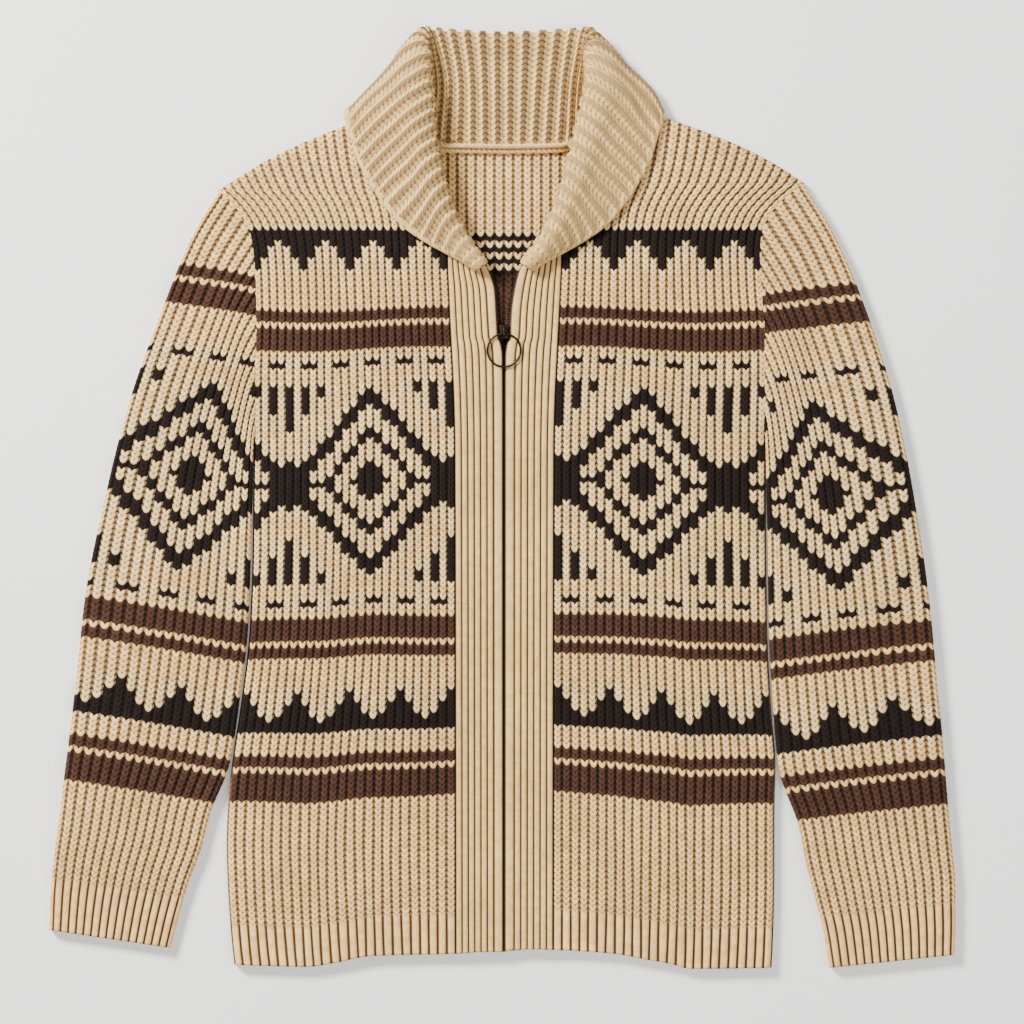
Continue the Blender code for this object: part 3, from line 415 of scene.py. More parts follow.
def chart(rib, row, place="body"):
    """Return the yarn of each stitch from its rib and row, both as whole numbers."""
    rib, row = np.meshgrid(rib, row)
    stripes = between(row, STRIPES[place])
    slope = 2 * np.abs((rib % PEAK_RIBS) - PEAK_RIBS // 2)
    up_from, down_from = row - 40, 127 - row
    rising = (up_from >= 0) & (up_from < np.maximum(PEAK_ROWS - slope, 2))
    falling = (down_from >= 0) & (down_from < np.maximum(PEAK_ROWS - slope, 2))
    black = rising | (falling & (place == "body"))
    across = np.abs((rib - 13 + DIAMOND_RIBS // 2) % DIAMOND_RIBS - DIAMOND_RIBS // 2)
    ring = np.floor(across * STEP_RATIO + np.abs(row - DIAMOND_MIDDLE))
    in_band = (row >= 66) & (row <= 100)
    black |= in_band & (((ring >= 14) & (ring <= 16)) | ((ring >= 8) & (ring <= 9)) | (ring <= 3))
    beside = DIAMOND_RIBS // 2 - across
    cross = (beside * STEP_RATIO + np.abs(row - DIAMOND_MIDDLE) < 5)
    corner = (beside * STEP_RATIO + np.minimum(row - 66, 100 - row) < 8) & (beside % 2 == 0)
    black |= in_band & (cross | corner)
    black |= ((row == 62) | (row == 104)) & (rib % 4 < 2)
    yarn = np.where(around_black(black) & ~stripes, PALE, np.where(stripes, BROWN, CREAM))
    return np.where(black, BLACK, yarn)


sample = chart(np.arange(3, 28), np.arange(0, 150))
print("black stitches in one front:", int((sample == BLACK).sum()))

# %% [markdown]
# Hand-dyed wool is never even, so each stitch is a little lighter or darker than the
# next. The numbers come from a seeded generator, so that every run gives the same cloth.
# %% Colour the stitches
def colour_faces(codes, column_ribs, row_stitches, seed):
    """Spread the chart's stitches over the faces, each with its own small shade."""
    shades = np.random.default_rng(seed).normal(1.0, 0.06, codes.shape)
    own = np.array([YARNS[name] for name in YARN_ORDER])[codes]
    # The groove colours are painted shade, with the dark yarn carried behind in the pale stitches.
    groove_shade_and_float = np.array([GROOVE_SHADES_AND_FLOATS[name] for name in YARN_ORDER])[codes]
    own[..., :3] *= shades[..., None]
    rows = np.clip(row_stitches, 0, codes.shape[0] - 1)[:, None]
    columns = np.clip(column_ribs, 0, codes.shape[1] - 1)[None, :]
    return own[rows, columns], groove_shade_and_float[rows, columns]


def plain_faces(points, name):
    """Give every face of a plain surface the same yarn."""
    shape = (points.shape[0] - 1, points.shape[1] - 1, 1)
    return np.tile(YARNS[name], shape), np.tile(GROOVE_SHADES_AND_FLOATS[name], shape)


print("shades vary by 6 in 100")

# %% [markdown]
# ## Cloth as a closed shell
# Each knitted piece has two surfaces, the ribbed outside and a plain inside, and a rim
# where they meet. Blender's grid operator makes each surface, its corners are moved to
# their places, and the rims are closed with triangles, because the two edges have
# different numbers of corners. Rows that run past an edge of the cut are pressed onto
# it and then merge, as a knitter casts off along a slope.
# %% Close two surfaces into a shell
def surface(points, u, v, colours, across=None, along=None):
    """Gather what a shell needs to know about one of its surfaces."""
    rows, columns = points.shape[:2]
    return {
        "points": points,
        "uv": np.stack([np.broadcast_to(u, (rows, columns)), np.broadcast_to(v, (rows, columns))], 2),
        "own": colours[0],
        "groove_shade_and_float": colours[1],
        "across": np.linspace(0.0, 1.0, columns) if across is None else np.asarray(across),
        "along": np.linspace(0.0, 1.0, rows) if along is None else np.asarray(along),
    }


def lay_rows(bm, points):
    """Lay a grid with its corners at the points, row by row."""
    rows, columns = points.shape[:2]
    corners = bmesh.ops.create_grid(bm, x_segments=columns - 1, y_segments=rows - 1,
                                    size=1.0)["verts"]
    for corner, place in zip(corners, ((points + SHIFT) * MM).reshape(-1, 3).tolist()):
        corner.co = place
    return [corners[row * columns:(row + 1) * columns] for row in range(rows)]


def sew_rim(bm, first, second, first_marks, second_marks):
    """Close the rim between two chains of corners that run side by side."""
    a = 0
    b = 0
    while a < len(first) - 1 or b < len(second) - 1:
        next_a = first_marks[a + 1] if a < len(first) - 1 else 9.0
        next_b = second_marks[b + 1] if b < len(second) - 1 else 9.0
        if next_a <= next_b:
            bm.faces.new((first[a], first[a + 1], second[b]))
            a += 1
        else:
            bm.faces.new((first[a], second[b + 1], second[b]))
            b += 1


def close_shell(name, outside, inside, material, body="garment", slot="ribbed_knit", tube=False):
    """Make a closed piece of cloth from its two surfaces and let it ride on its body."""
    bm = bmesh.new()
    outer = lay_rows(bm, outside["points"])
    inner = lay_rows(bm, inside["points"])
    for end in (0, -1):
        sew_rim(bm, outer[end], inner[end], outside["across"], inside["across"])
        if not tube:
            sew_rim(bm, [row[end] for row in outer], [row[end] for row in inner],
                    outside["along"], inside["along"])
    mesh = bpy.data.meshes.new(name)
    bm.to_mesh(mesh)
    corner_uv = np.concatenate([outside["uv"].reshape(-1, 2), inside["uv"].reshape(-1, 2)])
    places = np.empty(len(mesh.loops), np.int32)
    mesh.loops.foreach_get("vertex_index", places)
    stitches = mesh.uv_layers.new(name="stitches")
    stitches.uv.foreach_set("vector", corner_uv[places].astype(np.float32).ravel())
    for layer in ("own", "groove_shade_and_float"):
        colours = np.tile(outside[layer].reshape(-1, 4)[0], (len(mesh.polygons), 1))
        laid = np.concatenate([outside[layer].reshape(-1, 4), inside[layer].reshape(-1, 4)])
        colours[:len(laid)] = laid
        yarn = mesh.attributes.new("yarn_" + layer, "FLOAT_COLOR", "FACE")
        yarn.data.foreach_set("color", colours.astype(np.float32).ravel())
    bm.clear()
    bm.from_mesh(mesh)
    return finish_piece(name, bm, material, body)


def finish_piece(name, bm, material, body="garment", smooth_faces=True):
    """Merge doubles, turn the faces outwards and let the piece ride on its body."""
    bmesh.ops.remove_doubles(bm, verts=bm.verts, dist=0.02 * MM)
    bmesh.ops.recalc_face_normals(bm, faces=bm.faces)
    if bm.calc_volume(signed=True) < 0.0:
        bmesh.ops.reverse_faces(bm, faces=bm.faces)
    for face in bm.faces:
        face.smooth = smooth_faces
    mesh = bpy.data.meshes.new(name)
    bm.to_mesh(mesh)
    bm.free()
    piece = bpy.data.objects.new(name, mesh)
    bpy.context.scene.collection.objects.link(piece)
    piece.data.materials.append(material)
    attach(piece, body)
    mesh.calc_loop_triangles()
    print(name, "has", len(mesh.loop_triangles), "triangles")
    return piece


print("shells can be closed")

# %% [markdown]
# ## The knit's finish
# The shader reads u and v. It puts the groove colour into the grooves: painted shade, and in
# the pale stitches also the dark yarn carried behind. It adds a small painted shadow where the
# legs of each V meet, a little painted shade where one stitch meets the next, fine fibres over
# everything, and the V's legs and the fibres as bump. Wool scatters light at its edges, so it
# has some sheen and no gloss.
# %% Make the knit's finish
def add_node(tree, kind, label="", **inputs):
    """Add a node and set or link its inputs by name or number."""
    node = tree.nodes.new(kind)
    node.label = label
    for key, value in inputs.items():
        socket = node.inputs[int(key[1:])] if key[0] == "_" else node.inputs[key.replace("_", " ")]
        if hasattr(value, "is_output"):
            tree.links.new(value, socket)
        else:
            socket.default_value = value
    return node


def sums(tree, operation, *values):
    """Add a Math node and return its result."""
    node = tree.nodes.new("ShaderNodeMath")
    node.operation = operation
    for socket, value in zip(node.inputs, values):
        if hasattr(value, "is_output"):
            tree.links.new(value, socket)
        else:
            socket.default_value = value
    return node.outputs[0]


def soft_step(tree, value, low, high, from_low=0.0, from_high=1.0):
    """Add a smooth Map Range node and return its result."""
    node = tree.nodes.new("ShaderNodeMapRange")
    node.interpolation_type = "SMOOTHSTEP"
    tree.links.new(value, node.inputs["Value"])
    node.inputs["From Min"].default_value = low
    node.inputs["From Max"].default_value = high
    node.inputs["To Min"].default_value = from_low
    node.inputs["To Max"].default_value = from_high
    return node.outputs[0]


def mix_colour(tree, factor, a, b, blend_type="MIX"):
    """Add a colour Mix node and return its result."""
    node = tree.nodes.new("ShaderNodeMix")
    node.data_type = "RGBA"
    node.blend_type = blend_type
    for socket, value in zip((node.inputs[0], node.inputs[6], node.inputs[7]), (factor, a, b)):
        if hasattr(value, "is_output"):
            tree.links.new(value, socket)
        else:
            socket.default_value = value
    return node.outputs[2]


def new_material(name, roughness, metallic=0.0):
    """Return a material with its node tree and its shader."""
    material = bpy.data.materials.new(name)
    material.use_nodes = True
    shader = material.node_tree.nodes["Principled BSDF"]
    shader.inputs["Roughness"].default_value = roughness
    shader.inputs["Metallic"].default_value = metallic
    return material, material.node_tree, shader


def wool_colour(tree, own, shade):
    """Return the yarn's colour under a shade."""
    grey = add_node(tree, "ShaderNodeCombineXYZ", _0=shade, _1=shade, _2=shade)
    return mix_colour(tree, 1.0, own, grey.outputs[0], "MULTIPLY")


def wool_noise(tree):
    """Return the fibres as noise and a shade of fibres and soft patches."""
    place = tree.nodes.new("ShaderNodeTexCoord").outputs["Object"]
    fibres = add_node(tree, "ShaderNodeTexNoise", Vector=place, Scale=1100.0, Detail=4.0,
                      Roughness=0.7).outputs[0]
    tufts = add_node(tree, "ShaderNodeTexNoise", Vector=place, Scale=160.0, Detail=3.0).outputs[0]
    patches = add_node(tree, "ShaderNodeTexNoise", Vector=place, Scale=11.0, Detail=3.0).outputs[0]
    shade = soft_step(tree, fibres, 0.3, 0.7, 0.78, 1.16)
    shade = sums(tree, "MULTIPLY", shade, soft_step(tree, tufts, 0.3, 0.7, 0.88, 1.1))
    return fibres, sums(tree, "MULTIPLY", shade, soft_step(tree, patches, 0.3, 0.7, 0.9, 1.07))


def soften(shader):
    """Give a shader the soft edge light of wool."""
    shader.inputs["Sheen Weight"].default_value = 0.07
    shader.inputs["Sheen Roughness"].default_value = 0.5
    shader.inputs["Sheen Tint"].default_value = (1.0, 0.86, 0.66, 1.0)
    shader.inputs["Specular IOR Level"].default_value = 0.12


def knit_material(name, groove_start, groove_end, plain_rows, dot_shadow_strength, row_shade_strength, stitch_bump):
    """Make the finish of a knitted piece from its UV map and the yarns of its stitches."""
    material, tree, shader = new_material(name, 0.92)
    stitches = tree.nodes.new("ShaderNodeUVMap")
    stitches.uv_map = "stitches"
    split = add_node(tree, "ShaderNodeSeparateXYZ", Vector=stitches.outputs[0])
    part = sums(tree, "FRACT", split.outputs[0])
    a = sums(tree, "ABSOLUTE", sums(tree, "MULTIPLY_ADD", part, 2.0, -1.0))
    slant = sums(tree, "SUBTRACT", split.outputs[1], sums(tree, "MULTIPLY", a, V_LEAN))
    leg = soft_step(tree, sums(tree, "PINGPONG", slant, 0.5), 0.02, 0.3)
    stitched = soft_step(tree, split.outputs[1], plain_rows - 0.5, plain_rows + 0.5)
    gap_between = sums(tree, "MULTIPLY", sums(tree, "SUBTRACT", 1.0, leg), stitched)
    own = tree.nodes.new("ShaderNodeAttribute")
    own.attribute_name = "yarn_own"
    groove_shade_and_float = tree.nodes.new("ShaderNodeAttribute")
    groove_shade_and_float.attribute_name = "yarn_groove_shade_and_float"
    fibres, shade = wool_noise(tree)
    # A painted shadow in the hole where the legs of each V meet, in the middle of the rib.
    painted_dot_shadow = sums(tree, "MULTIPLY", gap_between, soft_step(tree, a, 0.05, 0.42, 1.0, 0.0))
    shade = sums(tree, "MULTIPLY", shade, sums(tree, "MULTIPLY_ADD", painted_dot_shadow, -dot_shadow_strength, 1.0))
    # Painted shade where one stitch meets the next along the rib.
    shade = sums(tree, "MULTIPLY", shade, sums(tree, "MULTIPLY_ADD", gap_between, -row_shade_strength, 1.0))
    # The grooves take the groove colour, a painted shade, which reaches wider where the Vs meet.
    scallop = sums(tree, "MULTIPLY_ADD", gap_between, 0.16, a)
    groove_shade_mask = soft_step(tree, scallop, groove_start, groove_end)
    thin = sums(tree, "MULTIPLY", stitched, sums(tree, "SUBTRACT", 1.0, gap_between))
    groove_shade_mask = sums(tree, "MULTIPLY", groove_shade_mask, sums(tree, "MULTIPLY_ADD", thin, -0.22, 1.0))
    lit = wool_colour(tree, own.outputs["Color"], shade)
    tree.links.new(mix_colour(tree, groove_shade_mask, lit, groove_shade_and_float.outputs["Color"]), shader.inputs["Base Color"])
    legs = sums(tree, "SUBTRACT", soft_step(tree, a, 0.0, 0.36), soft_step(tree, a, 0.55, 1.0))
    relief = sums(tree, "MULTIPLY", leg, sums(tree, "MULTIPLY_ADD", legs, 0.6, 0.4))
    relief = sums(tree, "MULTIPLY", relief, stitched)
    height = sums(tree, "MULTIPLY_ADD", fibres, 0.35, relief)
    bump = add_node(tree, "ShaderNodeBump", Height=height, Strength=stitch_bump)
    bump.inputs["Distance"].default_value = 0.7 * MM
    tree.links.new(bump.outputs[0], shader.inputs["Normal"])
    soften(shader)
    return material


def cord_material():
    """Make the finish of twisted cream yarn."""
    material, tree, shader = new_material("cord_yarn", 0.92)
    fibres, shade = wool_noise(tree)
    tree.links.new(wool_colour(tree, tuple(YARNS["trim"]), shade), shader.inputs["Base Color"])
    bump = add_node(tree, "ShaderNodeBump", Height=fibres, Strength=0.6)
    bump.inputs["Distance"].default_value = 0.3 * MM
    tree.links.new(bump.outputs[0], shader.inputs["Normal"])
    soften(shader)
    return material


cord_yarn = cord_material()
body_knit = knit_material("body_knit", 0.56, 0.84, HEM_ROWS, 0.8, 0.1, 0.4)
sleeve_knit = knit_material("sleeve_knit", 0.56, 0.84, CUFF_ROWS, 0.8, 0.1, 0.4)
trim_knit = knit_material("trim_knit", 0.6, 0.86, ALL_ROWS, 0.0, 0.0, 0.4)
print("made", body_knit.name, "and", trim_knit.name)

# %% [markdown]
# ## The body
# Each side of the body is read by a share across, from the centre to the side seam, and
# a level up the ribs. The ribs lean with the armhole near the shoulder, as they do on
# the real one. Levels that would pass the shoulder or the neckline stop on it.
# %% Find places on the body
MEETING_STEPS = 30
STRAIGHT_UP = 605.0
RIB_SWAY = 0.4
ROW_DRIFT = 1.6


def body_side(side, inner_out, top_edge):
    """Return a function that turns shares and levels into out, up and v."""
    edge_out = curve_of(SIDE_EDGE[side], "up", "out")
    hem_up = curve_of(HEM_EDGE[side], "out", "up")
    top_up = curve_of(top_edge, "out", "up")

    def rib_out(share, up):
        return blend(inner_out(up), edge_out(up) - SEAM_GAP, share)

    def top_of(share):
        low, high = np.full(share.shape, 590.0), np.full(share.shape, 760.0)
        for _ in range(MEETING_STEPS):
            middle = (low + high) / 2.0
            under = middle < top_up(rib_out(share, middle))
            low, high = np.where(under, middle, low), np.where(under, high, middle)
        return low

    def place(share, level):
        hem = hem_up(rib_out(share, np.zeros(share.shape)))
        level = np.minimum(level, top_of(share)[None, :])
        up = np.where(level < STRAIGHT_UP, hem + level * (STRAIGHT_UP - hem) / STRAIGHT_UP, level)
        out = rib_out(share[None, :], up)
        inside = swell(share)[None, :] ** 0.5
        sway = np.sin(up / 41.0 + 23.0 * share[None, :]) + 0.6 * np.sin(up / 15.0 - 61.0 * share[None, :])
        drift = np.sin(out / 33.0 + up / 90.0) * ease(up, 20.0, 80.0) * ease(up, 600.0, 560.0)
        return out + RIB_SWAY * sway * inside, up + ROW_DRIFT * drift, level / STITCH

    return place, edge_out, top_up


def creases(rows, out, up):
    """Return the sum of a table's soft troughs and ridges at each place."""
    total = np.zeros(np.broadcast(out, up).shape)
    for row in zip(*rows.values()):
        middle_out, middle_up, angle, length, width, depth = row
        turn = math.radians(angle)
        along = (out - middle_out) * math.cos(turn) + (up - middle_up) * math.sin(turn)
        across = (up - middle_up) * math.cos(turn) - (out - middle_out) * math.sin(turn)
        total += depth * np.exp(-(across / width) ** 2 - (along / length) ** 4)
    return total


FRONT_CREASES = {
    "left": table("out up angle length width depth", [
        (196.0, 470.0, 58.0, 44.0, 11.0, -1.0), (205.0, 420.0, 74.0, 60.0, 9.0, -0.8),
        (150.0, 250.0, 82.0, 110.0, 26.0, -0.7), (222.0, 170.0, 88.0, 80.0, 10.0, -0.9),
        (96.0, 430.0, 86.0, 130.0, 22.0, 0.5), (120.0, 90.0, 80.0, 60.0, 20.0, 0.6),
        (180.0, 620.0, 40.0, 50.0, 12.0, 0.6)]),
    "right": table("out up angle length width depth", [
        (203.0, 474.0, 54.0, 48.0, 12.0, -1.0), (212.0, 410.0, 76.0, 66.0, 9.0, -0.8),
        (140.0, 230.0, 96.0, 120.0, 24.0, -0.7), (214.0, 140.0, 92.0, 90.0, 10.0, -0.9),
        (88.0, 380.0, 92.0, 140.0, 22.0, 0.5), (150.0, 80.0, 98.0, 60.0, 20.0, 0.6),
        (190.0, 622.0, 44.0, 46.0, 12.0, 0.6)]),
}
print("creases by hand:", len(FRONT_CREASES["left"]["out"]), "on each front")

# %% [markdown]
# ### The fronts
# Each front is 25 ribs wide, from the band to the side seam. Its crests lie a little
# above the middle of the solid's ribs and its grooves below it, it rounds down over the
# side and the shoulder, and it is fuller in the middle, where the back lies under it.
# %% Knit the fronts
CREST = 0.7
GROOVE_DEPTH = 2.2
HEM_LINE_UP = 33.0
BODY_ROWS = 151


def front_surfaces(side):
    """Return the outside and the inside of one front."""
    sign = -1.0 if side == "left" else 1.0
    band_out = curve_of(BAND_EDGES[side], "up", "outer")
    place, edge_out, top_up = body_side(side, lambda up: band_out(up) + SEAM_GAP,
                                        FRONT_TOP_EDGE[side])

    def height(share, out, up):
        fullness = FRONT_FULLNESS * swell(share * 0.9 + 0.05) * swell((up + 40.0) / 660.0)
        high = FRONT_MEAN + CREST + fullness + creases(FRONT_CREASES[side], out, up)
        depth = np.where(up < UNDERARM_UP[side], high - EDGE_HIGH, 0.9)
        high -= round_edge(edge_out(up) - out, FOLD_REACH, depth)
        to_shoulder = np.where(out > 90.0, top_up(out) - up, FOLD_REACH)
        return high - round_edge(to_shoulder, FOLD_REACH, 3.0)

    u = rib_line(FRONT_RIBS)
    share = u / FRONT_RIBS
    lines = stitch_lines(u, BODY_ROWS)
    out, up, v = place(share, lines * STITCH)
    base = np.stack([sign * out, up, height(share, out, up)], 2)
    rise = rib_relief(u, v, GROOVE_DEPTH, HEM_ROWS)
    rise -= 0.5 * np.exp(-((v * STITCH - HEM_LINE_UP) / 1.6) ** 2)
    rise *= ease(v * STITCH, -2.0, 3.0)
    points = lift(base, rise, sign)
    codes = chart(np.arange(FRONT_RIBS) + 3, np.arange(BODY_ROWS))
    colours = colour_faces(codes, np.arange(len(u) - 1) // len(RIB_STOPS),
                           np.arange(len(lines) - 1) // ROW_STEPS, 11 + int(sign))
    outside = surface(points, u, v, colours, share, np.linspace(0.0, 1.0, len(lines)))
    share = np.linspace(0.0, 1.0, 25)
    levels = np.linspace(0.0, BODY_ROWS * STITCH, 61)
    out, up, v = place(share, np.broadcast_to(levels[:, None], (61, 25)))
    fullness = FRONT_FULLNESS * swell(share * 0.9 + 0.05) * swell((up + 40.0) / 660.0)
    points = np.stack([sign * out, up, FRONT_INSIDE + fullness], 2)
    inside = surface(points, share * FRONT_RIBS, v, plain_faces(points, "cream"), share,
                     np.linspace(0.0, 1.0, 61))
    return outside, inside


fronts = {}
for side in ("left", "right"):
    fronts[side] = close_shell("knit_front_" + side, *front_surfaces(side), body_knit)
    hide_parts("front_panel_" + side)

# %% [markdown]
# ### The back
# The back lies under everything. Only its inside shows, in the V of the neck, so its
# ribs are knitted stitch by stitch there and stay plain under the fronts. Its outside
# rests on the floor, where the ribs are pressed almost flat.
# %% Knit the back
SEEN_RIBS = 24
SEEN_RIB_WIDTH = 8.0
SEEN_REACH = SEEN_RIBS * SEEN_RIB_WIDTH / 2.0
SEEN_FROM_ROW = 96
HIDDEN_ROWS = 20
HIDDEN_COLUMNS = 9
BACK_GROOVE = 1.5
PRESSED_GROOVE = 0.9


def back_edge(side):
    """Return the top edge of one half of the back: the neckline, then the shoulder."""
    shoulder = FRONT_TOP_EDGE[side]
    corner = int(np.argmax(shoulder["out"] >= BACK_NECK["out"][-1]))
    return {name: np.concatenate([BACK_NECK[name][:-1], shoulder[name][corner:]])
            for name in ("out", "up")}


def back_half(side, inner, share, lines):
    """Return one half of the back as points and v, from an inner line to the side seam."""
    sign = -1.0 if side == "left" else 1.0
    place, edge_out, top_up = body_side(side, lambda up: np.full(np.shape(up), inner),
                                        back_edge(side))
    out, up, v = place(share, lines * STITCH)
    return np.stack([sign * out, up, np.zeros(up.shape)], 2), v


def inner_chart(rib, row):
    """Return the yarns of the back's inside: a dark band with small pale stitches."""
    rib, row = np.meshgrid(rib, row)
    yarn = np.where(row > 127, CREAM, np.where(row > 119, BLACK, BROWN))
    return np.where((row > 119) & (row < 128) & (row % 2 == 1), PALE, yarn)


def back_inside():
    """Return the back's upper side, with fine stitches where the neck shows it."""
    u = rib_line(SEEN_RIBS)
    fine = stitch_lines(u, BODY_ROWS - SEEN_FROM_ROW) + SEEN_FROM_ROW
    low = np.linspace(0.0, SEEN_FROM_ROW, HIDDEN_ROWS + 1)[:-1, None]
    lines = np.concatenate([np.broadcast_to(low, (HIDDEN_ROWS, len(u))), fine])
    x = (u - SEEN_RIBS / 2.0) * SEEN_RIB_WIDTH
    neck_up = curve_of(back_edge("left"), "out", "up")
    v = np.minimum(lines, neck_up(np.abs(x))[None, :] / STITCH)
    relief = rib_relief(u, v, BACK_GROOVE) * ease(v, SEEN_FROM_ROW - 2.0, SEEN_FROM_ROW + 2.0)
    middle = np.stack([np.broadcast_to(x, v.shape), v * STITCH, BACK_TOP + 0.3 + relief], 2)
    hem_up = np.where(x < 0.0, curve_of(HEM_EDGE["left"], "out", "up")(np.abs(x)),
                      curve_of(HEM_EDGE["right"], "out", "up")(np.abs(x)))
    middle[..., 1] = np.where(v * STITCH < STRAIGHT_UP,
                              hem_up + v * STITCH * (STRAIGHT_UP - hem_up) / STRAIGHT_UP,
                              v * STITCH)
    share = np.linspace(0.0, 1.0, HIDDEN_COLUMNS + 1)[1:]
    side_lines = np.broadcast_to(lines[:, :1], (len(lines), HIDDEN_COLUMNS))
    left, _ = back_half("left", SEEN_REACH, share[::-1], side_lines)
    right, _ = back_half("right", SEEN_REACH, share, side_lines)
    left[..., 2] = right[..., 2] = BACK_TOP - 0.4
    points = np.concatenate([left, middle, right], axis=1)
    all_u = np.concatenate([np.full(HIDDEN_COLUMNS, 0.5), u, np.full(HIDDEN_COLUMNS, 0.5)])
    all_v = np.pad(v, ((0, 0), (HIDDEN_COLUMNS, HIDDEN_COLUMNS)), mode="edge")
    ribs = np.concatenate([np.zeros(HIDDEN_COLUMNS, int), np.arange(len(u) - 1) // len(RIB_STOPS),
                           np.full(HIDDEN_COLUMNS, SEEN_RIBS - 1)])
    rows = np.concatenate([np.zeros(HIDDEN_ROWS, int),
                           SEEN_FROM_ROW + np.arange(len(fine) - 1) // ROW_STEPS])
    codes = inner_chart(np.arange(SEEN_RIBS), np.arange(BODY_ROWS))
    colours = colour_faces(codes, ribs, rows, 31)
    across = (points[-1, :, 0] - points[-1, 0, 0]) / np.ptp(points[-1, :, 0])
    along = (lines[:, 0] / lines[-1, 0])
    return surface(points, all_u, all_v, colours, across, along)


def back_outside():
    """Return the back's underside, with its ribs pressed flat where they rest."""
    half = FRONT_RIBS
    u = rib_line(half, COARSE_STOPS)
    lines = stitch_lines(u, BODY_ROWS, 1)
    left, left_v = back_half("left", 0.0, (u / half)[::-1], lines[:, ::-1])
    right, right_v = back_half("right", 0.0, u / half, lines)
    left[:, -1] = right[:, 0] = (left[:, -1] + right[:, 0]) / 2.0
    points = np.concatenate([left, right[:, 1:]], axis=1)
    v = np.concatenate([left_v, right_v[:, 1:]], axis=1)
    u = np.concatenate([-u[::-1], u[1:]])
    relief = -rib_relief(u, v, PRESSED_GROOVE, HEM_ROWS, 0.15)
    points[..., 2] = relief * ease(v, 0.0, 2.0)
    ribs = (np.arange(len(u) - 1) // len(COARSE_STOPS)) - half
    ribs = np.where(ribs < 0, -ribs - 1, ribs)
    codes = chart(np.arange(half) + 3, np.arange(BODY_ROWS))
    colours = colour_faces(codes, ribs, np.arange(len(lines) - 1), 21)
    across = (points[-1, :, 0] - points[-1, 0, 0]) / np.ptp(points[-1, :, 0])
    return surface(points, u, v, colours, across)


back = close_shell("knit_back", back_outside(), back_inside(), body_knit)
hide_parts("back_panel")

# %% [markdown]
# ### The sleeves
# A sleeve is a tube that lies flat. Its ribs run from the cuff to the armhole and go all
# the way round, over both folds. The stitches are counted from the cuff, along each rib,
# because a sleeve is knitted upwards and cast off along the armhole.
# %% Knit the sleeves
SLEEVE_ROWS = 139
SLEEVE_CHART_SHIFT = 2
SLEEVE_TUCK = 2.0
SLEEVE_GROOVE = 2.1
ROOF_RISE = 0.6
SLEEVE_SAMPLES = 97
CAP_GATHER = 1.3
SLEEVE_CREASES = {
    "left": table("out up angle length width depth", [
        (262.0, 596.0, 66.0, 40.0, 10.0, -1.0), (250.0, 470.0, 80.0, 60.0, 12.0, -1.1),
        (300.0, 420.0, 84.0, 90.0, 16.0, 0.7), (238.0, 330.0, 86.0, 60.0, 9.0, -0.8),
        (330.0, 260.0, 92.0, 70.0, 14.0, -0.7), (300.0, 170.0, 104.0, 44.0, 10.0, -0.8)]),
    "right": table("out up angle length width depth", [
        (276.0, 604.0, 62.0, 44.0, 10.0, -1.0), (262.0, 480.0, 82.0, 56.0, 12.0, -1.1),
        (312.0, 400.0, 88.0, 84.0, 16.0, 0.7), (246.0, 300.0, 90.0, 66.0, 9.0, -0.8),
        (336.0, 230.0, 96.0, 60.0, 14.0, -0.7), (296.0, 140.0, 108.0, 40.0, 10.0, -0.8)]),
}


def armhole_path(side):
    """Return a function that reads the armhole from the shoulder tip to the underarm."""
    edge = SIDE_EDGE[side]
    seen = (edge["up"] >= UNDERARM_UP[side]) & (edge["up"] <= SHOULDER_TIP_UP[side])
    out, up = edge["out"][seen][::-1], edge["up"][seen][::-1]
    along = np.concatenate([[0.0], np.cumsum(np.hypot(np.diff(out), np.diff(up)))])
    return lambda share: (smooth(along / along[-1], out, share), smooth(along / along[-1], up, share))


def flat_tube(share_round, width, inset, high):
    """Turn a share of the way round a flattened tube into a share across and a height."""
    radius = high / 2.0 - inset
    quarter = math.pi * radius / 2.0
    flat = width - 2.0 * inset - 2.0 * radius
    at = share_round * (2.0 * flat + 4.0 * quarter)
    on_top = np.clip(at - quarter, 0.0, flat)
    under = np.clip(at - 3.0 * quarter - flat, 0.0, flat)
    turn = np.where(at < quarter, at, np.clip(at - flat, quarter, 3.0 * quarter))
    turn = np.where(at > 3.0 * quarter + flat, np.maximum(at - 2.0 * flat, 3.0 * quarter), turn)
    angle = turn / radius
    across = inset + radius * (1.0 - np.cos(angle)) + on_top - under
    return across / width, high / 2.0 + radius * np.sin(angle)


